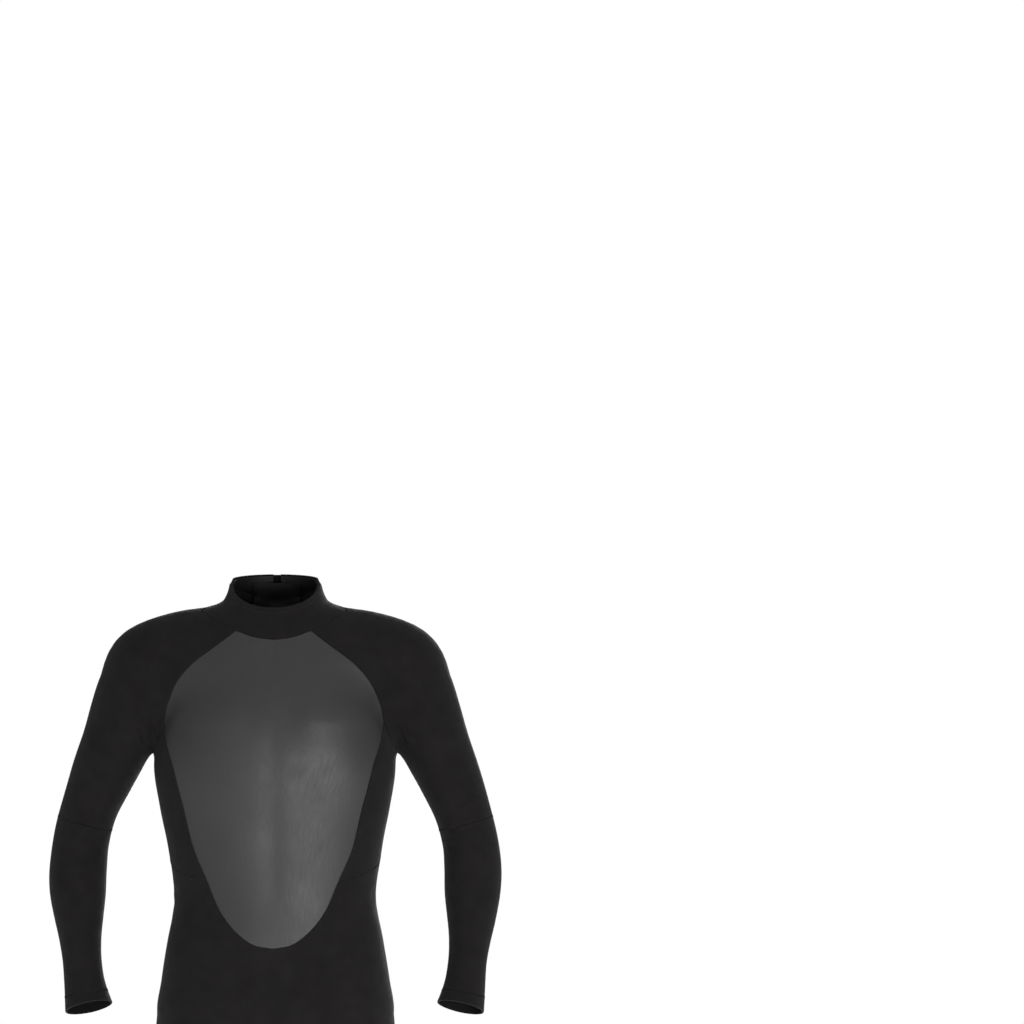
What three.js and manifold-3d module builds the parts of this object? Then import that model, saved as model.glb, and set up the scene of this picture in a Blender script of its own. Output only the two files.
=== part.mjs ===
// Full-length back-zip wetsuit, men's medium, standing filled out as it is worn.
// Millimetres, +Z up, the chest faces -Y, the wearer's left is +X.
// The origin is the point inside the neck from which the suit hangs.
import * as THREE from 'three';
import { mergeVertices } from 'three/addons/utils/BufferGeometryUtils.js';
import Module from 'manifold-3d';

const wasm = await Module();
wasm.setup();

// ---- Driving dimensions --------------------------------------------------------------------
const PANEL = 3; // neoprene sheet
const LINING = 1.5; // smooth-skin lining inside the collar
const SEAM = 0.24 * PANEL; // each panel's share of the gap at a seam; thicker sheet is glued wider
const LAYER_GAP = 0.3; // between flat layers that lie on each other
const CURVED_GAP = 1.4; // between curved layers, whose facets cut their corners differently

const NECK_RADIUS = 61;
const NECK_CENTRE_Y = 8;
const COLLAR_TOP_SIDE = 42;
const COLLAR_FRONT_DIP = 43;
const COLLAR_BACK_RISE = 5;

const CROTCH_Z = -676; // plane of the seam round the top of each leg
const HIP_PANEL_END = -800;
const THIGH_END = -950;
const KNEE_END = -1075;
const ANKLE_Z = -1400;
const HEM = 20; // height of the cuff and ankle hems

const SLEEVE_SEAM_Z = -268; // heights on the sleeve's centre line
const ELBOW_SEAM_Z = -326;
const ELBOW_END_Z = -440;
const CUFF_Z = -600;

const ZIP_LENGTH = 430;
const ZIP_TOP_Z = -6;
const TAPE_HALF_WIDTH = 16;
const TAPE = 1.2;
const TOOTH_PITCH = 6;
const TOOTH_REACH = 4.2;
const TOOTH_THICK = 3.2;
const SLIDER_LENGTH = 16;
const SLIDER_HALF_WIDTH = 7.5;
const SLIDER_PLATE = 1.6;
const PULL_TAB_LENGTH = 52;
const PULL_TAB_WIDTH = 11;

const KNEE_PAD = 2.5;
const KNEE_PAD_REACH = 50; // degrees to each side of the front of the knee
const KNEE_PAD_TOP = -955;
const KNEE_PAD_BOTTOM = -1070;

// How widely two shapes run into each other where they meet.
const NECK_BLEND = 46;
const SHOULDER_BLEND = 60;
const UNDERARM_BLEND = 18;
const CROTCH_BLEND = 26;

// Half widths of the trunk at each height, and how far its front and back stand from the axis.
const TRUNK_HALF_WIDTH = profile([
  [8, 46], [-12, 80], [-40, 112], [-80, 140], [-130, 158], [-180, 171], [-237, 181],
  [-300, 172], [-363, 160], [-435, 151], [-500, 161], [-560, 171], [-612, 177], [-640, 162],
  [-655, 122], [-668, 70],
]);
const TRUNK_FRONT = profile([
  [8, -41], [-48, -66], [-85, -88], [-140, -110], [-200, -121], [-260, -121],
  [-340, -111], [-435, -105], [-520, -107], [-600, -104], [-640, -88], [-668, -62],
]);
const TRUNK_BACK = profile([
  [8, 77], [-30, 83], [-60, 86], [-110, 88.7], [-240, 93], [-450, 100], [-520, 111],
  [-590, 122], [-640, 108], [-668, 76],
]);
const TRUNK_SQUARENESS = 2.35;
const TRUNK_HEAD = 8;
const TRUNK_FOOT = -664;
const NECK_FOOT = -50;
const NECK_ABOVE = -120;
const ARMS_ABOVE = -660;
const LEGS_BELOW = -540;
const BLEND_HEIGHTS = [-225, -110]; // the underarm's blend grows to the shoulder's between these

// Centre lines: x, y, z and the radius there.
const ARM = centreLine([
  [60, 2, -64, 58], [123, 4, -67, 62], [188, 6, -86, 60], [208, 6, -124, 58],
  [222, 6, -162, 56], [238, 7, -204, 52.5], [260, 8, -254, 47.5], [280, 9, -306, 42.5],
  [292, 9, -352, 42], [296, 7, -392, 43], [296, 2, -427, 42], [294.5, -4, -462, 37],
  [292, -9, -494, 32], [288.5, -14, -530, 29], [284.5, -19, -566, 30.5],
  [277.5, -25, -602, 36], [268, -31, -640, 43],
]);
const LEG = centreLine([
  [88, 12, -560, 76], [91, 12, -620, 85], [95, 10, -690, 87], [98, 5, -780, 82],
  [102, 0, -880, 72], [105, -2, -980, 62], [107, 0, -1040, 59], [110, 10, -1130, 60],
  [113, 11, -1220, 53], [116, 6, -1310, 42], [118, 3, -1370, 38], [119, 2, -1430, 38],
]);
const ARM_DEPTH = 1.04; // front-to-back depth over width
const LEG_DEPTH = 1.12;

// ---- Small helpers -------------------------------------------------------------------------
function profile(knots) {
  const slope = (i) => {
    const a = knots[Math.max(i - 1, 0)];
    const b = knots[Math.min(i + 1, knots.length - 1)];
    return (b[1] - a[1]) / (b[0] - a[0]);
  };
  return (z) => {
    if (z >= knots[0][0]) return knots[0][1];
    const i = knots.findIndex((k) => k[0] <= z) - 1;
    if (i < 0) return knots.at(-1)[1];
    const h = knots[i + 1][0] - knots[i][0];
    const t = (z - knots[i][0]) / h;
    const [t2, t3] = [t * t, t * t * t];
    return (2 * t3 - 3 * t2 + 1) * knots[i][1] + (t3 - 2 * t2 + t) * h * slope(i)
      + (3 * t2 - 2 * t3) * knots[i + 1][1] + (t3 - t2) * h * slope(i + 1);
  };
}

// A smooth chain of [x, y, z, radius] through the given points, four steps to each span.
function centreLine(points) {
  const steps = 4;
  const at = (k) => points[Math.min(Math.max(k, 0), points.length - 1)];
  const chain = [];
  for (let k = 0; k < points.length - 1; k++) {
    for (let s = 0; s < steps; s++) {
      const t = s / steps;
      chain.push([0, 1, 2, 3].map((c) => {
        const [a, b, d, e] = [at(k - 1)[c], at(k)[c], at(k + 1)[c], at(k + 2)[c]];
        return b + 0.5 * t * (d - a + t * (2 * a - 5 * b + 4 * d - e + t * (3 * (b - d) + e - a)));
      }));
    }
  }
  chain.push(points.at(-1));
  return chain;
}

const lerp = THREE.MathUtils.lerp;
const radians = THREE.MathUtils.degToRad;
const smoothstep = THREE.MathUtils.smoothstep;
const vec = (x, y, z) => new THREE.Vector3(x, y, z);

function smoothMin(a, b, width) {
  const h = Math.max(width - Math.abs(a - b), 0) / width;
  return Math.min(a, b) - h * h * width / 4;
}

// ---- The body's surface --------------------------------------------------------------------
function trunk(x, y, z) {
  const front = TRUNK_FRONT(z);
  const back = TRUNK_BACK(z);
  const dy = y - (front + back) / 2;
  const r = Math.hypot(x, dy);
  const a = Math.abs(x) / TRUNK_HALF_WIDTH(z);
  const b = Math.abs(dy) / ((back - front) / 2);
  const s = (a ** TRUNK_SQUARENESS + b ** TRUNK_SQUARENESS) ** (1 / TRUNK_SQUARENESS);
  return Math.max(r - r / Math.max(s, 1e-6), z - TRUNK_HEAD, TRUNK_FOOT - z);
}

function limb(chain, depth, x, y, z) {
  let nearest = Infinity;
  for (let k = 0; k < chain.length - 1; k++) {
    const [p, q] = [chain[k], chain[k + 1]];
    const [ex, ey, ez] = [q[0] - p[0], q[1] - p[1], q[2] - p[2]];
    const [dx, dy, dz] = [x - p[0], (y - p[1]) / depth, z - p[2]];
    const along = (dx * ex + dy * ey + dz * ez) / (ex * ex + ey * ey + ez * ez);
    const t = Math.min(Math.max(along, 0), 1);
    const away = Math.hypot(dx - t * ex, dy - t * ey, dz - t * ez) - lerp(p[3], q[3], t);
    nearest = Math.min(nearest, away);
  }
  return nearest;
}

// Negative inside the filled suit, zero on its outer face. Each limb counts only near its heights.
function body(p) {
  const x = Math.abs(p.x);
  const neck = Math.max(Math.hypot(x, p.y - NECK_CENTRE_Y) - NECK_RADIUS, NECK_FOOT - p.z);
  let f = trunk(x, p.y, p.z);
  if (p.z < LEGS_BELOW) f = smoothMin(f, limb(LEG, LEG_DEPTH, x, p.y, p.z), CROTCH_BLEND);
  if (p.z > ARMS_ABOVE) {
    const blend = lerp(UNDERARM_BLEND, SHOULDER_BLEND, smoothstep(p.z, ...BLEND_HEIGHTS));
    f = smoothMin(f, limb(ARM, ARM_DEPTH, x, p.y, p.z), blend);
  }
  return p.z > NECK_ABOVE ? smoothMin(f, neck, NECK_BLEND) : f;
}

function normalAt(p) {
  const step = 1.5;
  const along = (axis) => body(p.clone().addScaledVector(axis, step))
    - body(p.clone().addScaledVector(axis, -step));
  return vec(along(vec(1, 0, 0)), along(vec(0, 1, 0)), along(vec(0, 0, 1))).normalize();
}

// The point where a ray that starts inside the suit leaves it.
function cast(from, direction) {
  const d = direction.clone().normalize();
  const at = (t) => from.clone().addScaledVector(d, t);
  const stride = 5;
  let far = stride;
  while (body(at(far)) < 0 && far < 400) far += stride;
  let near = far - stride;
  for (let k = 0; k < 16; k++) {
    const middle = (near + far) / 2;
    if (body(at(middle)) < 0) near = middle;
    else far = middle;
  }
  return at(far);
}

// The outermost point of the suit over (x, z), seen from the front (-1) or the back (+1).
function over(x, z, side) {
  let y = side * 220;
  while (body(vec(x, y, z)) > 0 && Math.abs(y) > 2) y -= side * 2;
  let [inside, outside] = [y, y + side * 2];
  for (let k = 0; k < 14; k++) {
    const middle = (inside + outside) / 2;
    if (body(vec(x, middle, z)) < 0) inside = middle;
    else outside = middle;
  }
  return vec(x, outside, z);
}

// Moves a point that is near the surface onto it.
function settle(p) {
  for (let k = 0; k < 6; k++) p.addScaledVector(normalAt(p), -body(p) * 0.8);
  return p;
}

// count + 1 evenly spaced points of the smooth curve through the given ones, on the surface.
function seam(points, count) {
  const curve = new THREE.CatmullRomCurve3(points, false, 'centripetal');
  const spaced = curve.getSpacedPoints(count);
  return spaced.map((p, k) => (k === 0 || k === count ? p : settle(p)));
}

const mirror = (p) => vec(-p.x, p.y, p.z);
const mirrored = (points) => points.map(mirror);
const reversed = (points) => [...points].reverse();
const joined = (...runs) => runs.reduce((all, run) => [...all, ...run.slice(all.length ? 1 : 0)], []);

// ---- Seam lines, wearer's left side --------------------------------------------------------
const COLLAR_BASE = profile([
  [180, 0], [150, 3], [120, 5], [90, 1], [75, -7], [60, -17], [45, -29], [33, -37], [18, -45], [0, -48.5],
]);
const collarBase = (degrees) => {
  const from = vec(0, NECK_CENTRE_Y, COLLAR_BASE(Math.abs(degrees)));
  const a = radians(degrees);
  return cast(from, vec(Math.sin(a), -Math.cos(a), 0));
};
const spread = (from, to, count) => Array.from({ length: count + 1 }, (_, k) => lerp(from, to, k / count));

const COLLAR_FRONT_CORNER = 36; // degrees round the neck from the front
const COLLAR_BACK_CORNER = 140;
const CHEST_COLUMNS = 10;
const SLEEVE_COLUMNS = 14;
const BACK_COLUMNS = 4;
const neckFront = spread(-COLLAR_FRONT_CORNER, COLLAR_FRONT_CORNER, CHEST_COLUMNS).map(collarBase);
const neckSide = spread(COLLAR_FRONT_CORNER, COLLAR_BACK_CORNER, SLEEVE_COLUMNS).map(collarBase);

// The lowest point of the fold under the arm.
function armpit(y) {
  let z = -320;
  const open = () => spread(160, 230, 35).some((x) => body(vec(x, y, z)) > 0);
  while (open()) z += 0.5;
  const floor = z - 0.5;
  const widest = spread(160, 230, 140).reduce((best, x) =>
    (body(vec(x, y, floor)) > body(vec(best, y, floor)) ? x : best));
  return vec(widest, y, z);
}
const underarm = armpit(6);

const RAGLAN_ROWS = 6;
const ARMHOLE_ROWS = 3;
const UNDERARM_ROWS = 2;
const chestWidest = over(164, -172, -1);
const bladeWidest = over(158, -166, 1);
const neckFrontCorner = neckSide[0];
const neckBackCorner = neckSide.at(-1);
const raglanFront = seam([
  neckFrontCorner, over(89, -60, -1), over(124, -87, -1), over(148, -118, -1), over(160, -148, -1),
  chestWidest,
], RAGLAN_ROWS);
const raglanBack = seam([
  neckBackCorner, over(98, -58, 1), over(134, -106, 1), bladeWidest,
], RAGLAN_ROWS);
const armholeFront = seam([chestWidest, settle(vec(177, -34, -203)), underarm], ARMHOLE_ROWS);
const armholeBack = seam([bladeWidest, settle(vec(175, 46, -200)), underarm], ARMHOLE_ROWS);

const SIDE_ROWS = 6;
const chestLow = over(97, -408, -1);
const waistSide = cast(vec(0, 0, -376), vec(1, 0, 0));
const waistBack = over(96, -362, 1);
const chestEdge = seam([
  chestWidest, over(161, -195, -1), over(150, -233, -1), over(135, -290, -1), over(119, -356, -1),
  chestLow,
], SIDE_ROWS);
const CHEST_TIP_COLUMNS = 5;
const chestTip = seam([
  chestLow, over(78, -452, -1), over(56, -481, -1), over(29, -501, -1), over(0, -507, -1),
], CHEST_TIP_COLUMNS);
const sideSeamFront = seam([chestLow, over(119, -403, -1), waistSide], 3);
const sideSeamBack = seam([waistSide, waistBack], 3);
const bladeEdge = seam([bladeWidest, over(140, -240, 1), over(116, -310, 1), waistBack], SIDE_ROWS);

// The zip runs down a straight line in the middle of the back.
const ZIP_EDGE = TAPE_HALF_WIDTH + SEAM;
const zipTop = over(ZIP_EDGE, ZIP_TOP_Z - 24, 1);
const zipFoot = over(ZIP_EDGE, ZIP_TOP_Z - ZIP_LENGTH, 1);
const zipSlope = (zipFoot.y - zipTop.y) / (zipFoot.z - zipTop.z);
const zipY = (z) => zipTop.y + zipSlope * (z - zipTop.z);
const zipLean = Math.atan(-zipSlope);
const backEdgeTop = vec(ZIP_EDGE, zipY(ZIP_TOP_Z), ZIP_TOP_Z);
const backEdgeFoot = vec(ZIP_EDGE, zipY(ZIP_TOP_Z - ZIP_LENGTH), ZIP_TOP_Z - ZIP_LENGTH);
const BACK_ROWS = RAGLAN_ROWS + SIDE_ROWS;
const backEdge = spread(0, 1, BACK_ROWS).map((t) => backEdgeTop.clone().lerp(backEdgeFoot, t));
const neckBack = [
  ...spread(COLLAR_BACK_CORNER, 166, BACK_COLUMNS).slice(0, -1).map(collarBase), backEdgeTop,
];
const lumbarSeam = seam([
  waistBack, over(56, lerp(waistBack.z, backEdgeFoot.z, 2 / 3), 1), backEdgeFoot,
], BACK_COLUMNS);

// ---- Rings round the limbs -----------------------------------------------------------------
const LEG_COLUMNS = 18;
const GROIN_COLUMNS = 7;

function onChain(chain, z) {
  const k = chain.findIndex((c, i) => i > 0 && c[2] <= z) - 1;
  const [p, q] = [chain[k], chain[k + 1]];
  const t = (z - p[2]) / (q[2] - p[2]);
  const centre = vec(lerp(p[0], q[0], t), lerp(p[1], q[1], t), z);
  const [before, after] = [chain[Math.max(k - 2, 0)], chain[Math.min(k + 3, chain.length - 1)]];
  const along = vec(after[0] - before[0], after[1] - before[1], after[2] - before[2]).normalize();
  return { centre, along };
}

// Starts at the underarm and goes round by the front.
function armRing(z) {
  const { centre, along } = onChain(ARM, z);
  const inward = vec(-1, 0, 0).addScaledVector(along, along.x).normalize();
  const forward = vec(0, -1, 0).addScaledVector(along, along.y).normalize();
  return spread(0, 360, SLEEVE_COLUMNS).map((degrees) => {
    const a = radians(degrees);
    return cast(centre, inward.clone().multiplyScalar(Math.cos(a)).addScaledVector(forward, Math.sin(a)));
  });
}

// Level, starts at the outer side and goes round by the front.
function legRing(z) {
  const { centre } = onChain(LEG, z);
  return spread(0, 360, LEG_COLUMNS).map((degrees) => {
    const a = radians(degrees);
    return cast(centre, vec(Math.cos(a), -Math.sin(a), 0));
  });
}

// ---- Solids --------------------------------------------------------------------------------
// Rows and columns of surface points between four edges, by rays from a moving centre.
function patch(top, bottom, left, right, centre) {
  const [nu, nv] = [top.length - 1, left.length - 1];
  const way = (p, v) => p.clone().sub(centre(v)).normalize();
  return left.map((_, j) => top.map((_unused, i) => {
    const [u, v] = [i / nu, j / nv];
    if (j === 0) return top[i];
    if (j === nv) return bottom[i];
    if (i === 0) return left[j];
    if (i === nu) return right[j];
    const d = way(top[i], 0).multiplyScalar(1 - v)
      .addScaledVector(way(bottom[i], 1), v)
      .addScaledVector(way(left[j], v), 1 - u)
      .addScaledVector(way(right[j], v), u)
      .addScaledVector(way(top[0], 0), -(1 - u) * (1 - v))
      .addScaledVector(way(top[nu], 0), -u * (1 - v))
      .addScaledVector(way(bottom[0], 1), -(1 - u) * v)
      .addScaledVector(way(bottom[nu], 1), -u * v);
    return cast(centre(v), d);
  }));
}

// Moves p by the seam's share of the gap, square to the edge from before to after, towards inside.
function drawnIn(p, before, after, inside) {
  const edge = after.clone().sub(before).normalize();
  const way = inside.clone().sub(p);
  way.addScaledVector(edge, -way.dot(edge)).normalize();
  return p.clone().addScaledVector(way, SEAM);
}

// Draws one edge of a sheet in; a corner moves towards the next row's point beyond it.
function edgeIn(edge, next) {
  const last = edge.length - 1;
  return edge.map((p, i) => drawnIn(p, edge[Math.max(i - 1, 0)], edge[Math.min(i + 1, last)],
    next[Math.min(Math.max(i, 1), last - 1)]));
}

// Draws the end of a tube in; its last point is its first one again.
function ringIn(ring, next) {
  const turn = ring.length - 1;
  return ring.map((p, i) => drawnIn(p, ring[(i + turn - 1) % turn], ring[(i + 1) % turn], next[i]));
}

const transposed = (rows) => rows[0].map((_, i) => rows.map((row) => row[i]));
const endsIn = (rows, drawIn) => [
  drawIn(rows[0], rows[1]), ...rows.slice(1, -1), drawIn(rows.at(-1), rows.at(-2)),
];

// Draws the border of a grid in: all four edges, or only the ends if its rows are rings.
function trimmed(grid, wraps = false) {
  if (wraps) return endsIn(grid, ringIn);
  return transposed(endsIn(transposed(endsIn(grid, edgeIn)), edgeIn));
}

function closedMesh(name, geometry, material) {
  geometry.deleteAttribute('normal');
  geometry.deleteAttribute('uv');
  const solid = mergeVertices(geometry, 1e-4);
  const [p, index] = [solid.attributes.position, solid.index.array];
  const corner = (k) => new THREE.Vector3().fromBufferAttribute(p, index[k]);
  let volume = 0;
  for (let k = 0; k < index.length; k += 3) {
    volume += corner(k).dot(corner(k + 1).cross(corner(k + 2)));
  }
  if (volume < 0) {
    for (let k = 0; k < index.length; k += 3) [index[k], index[k + 1]] = [index[k + 1], index[k]];
  }
  solid.computeVertexNormals();
  const mesh = new THREE.Mesh(solid, material);
  mesh.name = name;
  return mesh;
}

// The two faces of a sheet: outer points stand out by lift, inner ones lie a thickness below.
function faces(grid, thickness, lift) {
  return grid.map((row) => row.map((p) => {
    const n = normalAt(p);
    const outer = p.clone().addScaledVector(n, lift);
    return [outer, outer.clone().addScaledVector(n, -thickness)];
  }));
}

// A sheet with four edges.
function sheet(name, grid, material, thickness = PANEL, lift = 0) {
  const cut = faces(trimmed(grid), thickness, lift);
  const [nv, nu] = [grid.length - 1, grid[0].length - 1];
  const geometry = new THREE.BoxGeometry(1, 1, 1, nu, nv, 1);
  const at = geometry.attributes.position;
  for (let k = 0; k < at.count; k++) {
    const i = Math.round((at.getX(k) + 0.5) * nu);
    const j = Math.round((0.5 - at.getY(k)) * nv);
    const p = cut[j][i][at.getZ(k) > 0 ? 0 : 1];
    at.setXYZ(k, p.x, p.y, p.z);
  }
  return closedMesh(name, geometry, material);
}

// A tube made of rings, open at both ends.
function tube(name, rings, material, thickness = PANEL, lift = 0) {
  const cut = faces(trimmed(rings, true), thickness, lift);
  const last = cut.length - 1;
  const around = cut[0].length - 1;
  const profileOf = (i) => [
    ...cut.map((row) => row[i % around][0]),
    ...reversed(cut.map((row) => row[i % around][1])),
    cut[0][i % around][0],
  ];
  const points = Array.from({ length: 2 * last + 3 }, (_, k) => new THREE.Vector2(1, k));
  const geometry = new THREE.LatheGeometry(points, around);
  const at = geometry.attributes.position;
  for (let k = 0; k < at.count; k++) {
    const p = profileOf(Math.floor(k / points.length))[k % points.length];
    at.setXYZ(k, p.x, p.y, p.z);
  }
  return closedMesh(name, geometry, material);
}

// ---- Materials -----------------------------------------------------------------------------
const finish = (color, roughness, metalness = 0) =>
  new THREE.MeshStandardMaterial({ color, roughness, metalness });
const jersey = () => finish(0x232122, 0.85);
const smoothSkin = () => finish(0x4a4a4c, 0.45);
const lining = () => finish(0x111112, 0.6);
const padRubber = () => finish(0x2b2b2d, 0.7);
const tapeCloth = () => finish(0x1b1b1c, 0.9);
const toothPlastic = () => finish(0x18181a, 0.4);
const metalFinish = () => finish(0x3a3a3d, 0.35, 0.9);

const suit = new THREE.Group();
const sides = [['left', 1], ['right', -1]];
const onSide = (grid, sign) => (sign > 0 ? grid : grid.map(mirrored));

// ---- Trunk panels --------------------------------------------------------------------------
const axis = (from, to, y = 4) => (v) => vec(0, y, lerp(from, to, v));

const chestSide = joined(raglanFront, chestEdge);
const chestFoot = joined(mirrored(chestTip), reversed(chestTip));
suit.add(sheet('chest_panel',
  patch(neckFront, chestFoot, mirrored(chestSide), chestSide, axis(-90, -400)), smoothSkin()));

const legTop = legRing(CROTCH_Z);
const hip = legTop[0];
const groinFront = legTop.slice(0, GROIN_COLUMNS + 1);
const groinInner = legTop.slice(GROIN_COLUMNS, LEG_COLUMNS - GROIN_COLUMNS + 1);
const groinBack = legTop.slice(LEG_COLUMNS - GROIN_COLUMNS);
const HIP_ROWS = 6;
const hipSeam = spread(0, 1, HIP_ROWS).map((t) => {
  if (t === 0) return waistSide;
  if (t === 1) return hip;
  const z = lerp(waistSide.z, hip.z, t);
  return cast(vec(0, lerp(waistSide.y, hip.y, t), z), vec(1, 0, 0));
});
const crotchCentre = vec(0, 12, -610);
const acrossCrotch = (corner) => {
  const middle = cast(crotchCentre, vec(0, corner.y - crotchCentre.y, corner.z - crotchCentre.z));
  return [mirror(corner), middle, corner];
};
const crotchFront = acrossCrotch(groinFront.at(-1));
const crotchBack = acrossCrotch(groinBack[0]);

const abdomenTop = joined(reversed(mirrored(sideSeamFront)), mirrored(chestTip), reversed(chestTip),
  sideSeamFront);
const abdomenFoot = joined(mirrored(groinFront), crotchFront, reversed(groinFront));
suit.add(sheet('abdomen_panel',
  patch(abdomenTop, abdomenFoot, mirrored(hipSeam), hipSeam, axis(-400, -630)), jersey()));

const zipFootSeam = [mirror(backEdgeFoot), over(0, backEdgeFoot.z, 1), backEdgeFoot];
const seatTop = joined(mirrored(sideSeamBack), mirrored(lumbarSeam), zipFootSeam,
  reversed(lumbarSeam), reversed(sideSeamBack));
const seatFoot = joined(mirrored(reversed(groinBack)), crotchBack, groinBack);
suit.add(sheet('seat_panel',
  patch(seatTop, seatFoot, mirrored(hipSeam), hipSeam, axis(-400, -630)), jersey()));

suit.add(sheet('crotch_gusset',
  patch(crotchFront, crotchBack, mirrored(groinInner), groinInner,
    (v) => vec(0, lerp(-20, 40, v), -600)), jersey()));

for (const [side, sign] of sides) {
  const armhole = joined(armholeFront, reversed(armholeBack));
  const underSeam = joined(sideSeamFront, sideSeamBack);
  const underPanel = patch(armhole, underSeam, chestEdge, bladeEdge,
    (v) => vec(lerp(70, 40, v), 4, lerp(-225, -370, v)));
  suit.add(sheet(`side_panel_${side}`, onSide(underPanel, sign), jersey()));

  const bladeSide = joined(raglanBack, bladeEdge);
  const backPanel = patch(neckBack, lumbarSeam, bladeSide, backEdge,
    (v) => vec(10, 0, lerp(-60, -400, v)));
  suit.add(sheet(`upper_back_${side}`, onSide(backPanel, sign), jersey()));
}

// ---- Sleeves -------------------------------------------------------------------------------
const sleeveSeam = armRing(SLEEVE_SEAM_Z);
const elbowSeam = armRing(ELBOW_SEAM_Z);
const underarmLine = seam([underarm, sleeveSeam[0]], UNDERARM_ROWS);
const shoulderFront = joined(raglanFront, armholeFront, underarmLine);
const shoulderBack = joined(raglanBack, armholeBack, underarmLine);
const SHOULDER_ROWS = shoulderFront.length - 1;

// The shoulder's rays start beside the neck, then follow the arm's centre line to the sleeve seam.
const BESIDE_NECK = vec(72, 5, -62);
const IN_SHOULDER = vec(190, 5, -98);
const ARMHOLE_FOOT_Z = -185;

function shoulderCentre(v) {
  const row = v * SHOULDER_ROWS;
  const armholeEnd = RAGLAN_ROWS + ARMHOLE_ROWS;
  if (row <= RAGLAN_ROWS) return BESIDE_NECK.clone().lerp(IN_SHOULDER, row / RAGLAN_ROWS);
  const z = row <= armholeEnd
    ? lerp(IN_SHOULDER.z, ARMHOLE_FOOT_Z, (row - RAGLAN_ROWS) / ARMHOLE_ROWS)
    : lerp(ARMHOLE_FOOT_Z, SLEEVE_SEAM_Z, (row - armholeEnd) / (SHOULDER_ROWS - armholeEnd));
  return onChain(ARM, z).centre;
}

const rings = (ringAt, from, to, count) => spread(from, to, count).map(ringAt);

for (const [side, sign] of sides) {
  const shoulder = patch(neckSide, sleeveSeam, shoulderFront, shoulderBack, shoulderCentre);
  suit.add(sheet(`shoulder_panel_${side}`, onSide(shoulder, sign), jersey()));
  const pieces = [
    ['upper_sleeve', SLEEVE_SEAM_Z, ELBOW_SEAM_Z, 2],
    ['elbow_panel', ELBOW_SEAM_Z, ELBOW_END_Z, 4],
    ['forearm_panel', ELBOW_END_Z, CUFF_Z + HEM, 4],
    ['cuff_hem', CUFF_Z + HEM, CUFF_Z, 1],
  ];
  for (const [name, from, to, count] of pieces) {
    suit.add(tube(`${name}_${side}`, onSide(rings(armRing, from, to, count), sign), jersey()));
  }
}

// ---- Legs ----------------------------------------------------------------------------------
const KNEE_PAD_ROUNDING = 0.4; // how far the pad's corners are drawn in at its two ends

function kneePad() {
  const rows = 7;
  return spread(-1, 1, rows).map((t) => {
    const z = lerp(KNEE_PAD_TOP, KNEE_PAD_BOTTOM, (t + 1) / 2);
    const { centre } = onChain(LEG, z);
    const reach = KNEE_PAD_REACH * Math.sqrt(1 - KNEE_PAD_ROUNDING * t ** 4);
    return spread(-reach, reach, 5).map((degrees) => {
      const a = radians(degrees);
      return cast(centre, vec(Math.sin(a), -Math.cos(a), 0));
    });
  });
}

for (const [side, sign] of sides) {
  const pieces = [
    ['hip_panel', CROTCH_Z, HIP_PANEL_END, 4],
    ['thigh_panel', HIP_PANEL_END, THIGH_END, 3],
    ['knee_panel', THIGH_END, KNEE_END, 4],
    ['shin_panel', KNEE_END, ANKLE_Z + HEM, 6],
    ['ankle_hem', ANKLE_Z + HEM, ANKLE_Z, 1],
  ];
  for (const [name, from, to, count] of pieces) {
    suit.add(tube(`${name}_${side}`, onSide(rings(legRing, from, to, count), sign), jersey()));
  }
  suit.add(sheet(`knee_pad_${side}`, onSide(kneePad(), sign), padRubber(), KNEE_PAD,
    KNEE_PAD + CURVED_GAP));
}

// ---- Collar --------------------------------------------------------------------------------
const COLLAR_SLIT = 6; // half the gap between the collar's two ends at the back
const collarTop = (degrees) => {
  const c = Math.cos(radians(degrees));
  return COLLAR_TOP_SIDE - c * (c > 0 ? COLLAR_FRONT_DIP : COLLAR_BACK_RISE);
};
const slitDegrees = 180 - THREE.MathUtils.radToDeg(Math.asin(COLLAR_SLIT / NECK_RADIUS));

// A point on the collar: t is 0 at its lower seam and 1 at its top edge.
function collarPoint(degrees, t) {
  const base = Math.min(Math.abs(degrees), 180);
  const z = lerp(COLLAR_BASE(base), collarTop(degrees), t);
  const a = radians(degrees);
  return cast(vec(0, NECK_CENTRE_Y, z), vec(Math.sin(a), -Math.cos(a), 0));
}

const sideAngles = spread(COLLAR_FRONT_CORNER, COLLAR_BACK_CORNER, SLEEVE_COLUMNS);
const backAngles = spread(COLLAR_BACK_CORNER, slitDegrees, BACK_COLUMNS);
const halfRound = joined(spread(0, COLLAR_FRONT_CORNER, CHEST_COLUMNS / 2), sideAngles, backAngles);
const roundNeck = [...reversed(halfRound).map((d) => -d), ...halfRound.slice(1)];
const BAND_ROWS = 4;
const LINING_MARGIN = 0.08; // of the band's height, left free at its top and bottom
const band = (low, high) =>
  spread(high, low, BAND_ROWS).map((t) => roundNeck.map((degrees) => collarPoint(degrees, t)));
suit.add(sheet('collar_band', band(0, 1), jersey()));
suit.add(sheet('collar_lining', band(LINING_MARGIN, 1 - LINING_MARGIN), lining(), LINING,
  -PANEL - CURVED_GAP - LAYER_GAP));

// The closure: the tab is sewn beside the slit and presses onto a loop pad across it.
const PAD = 1;
const TAB = 2.5;
const CLOSURE_GAP = 0.7;
const loopLift = CURVED_GAP + PAD;
const hookLift = loopLift + CLOSURE_GAP + PAD;
const tabLift = hookLift + CLOSURE_GAP + TAB;
const TAB_ROOT = -170.5; // degrees
const CLOSURE_STEP = 3.5; // degrees
const CLOSURE_LOW = 0.47; // of the collar's height
const CLOSURE_RISE = 0.07;

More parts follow.
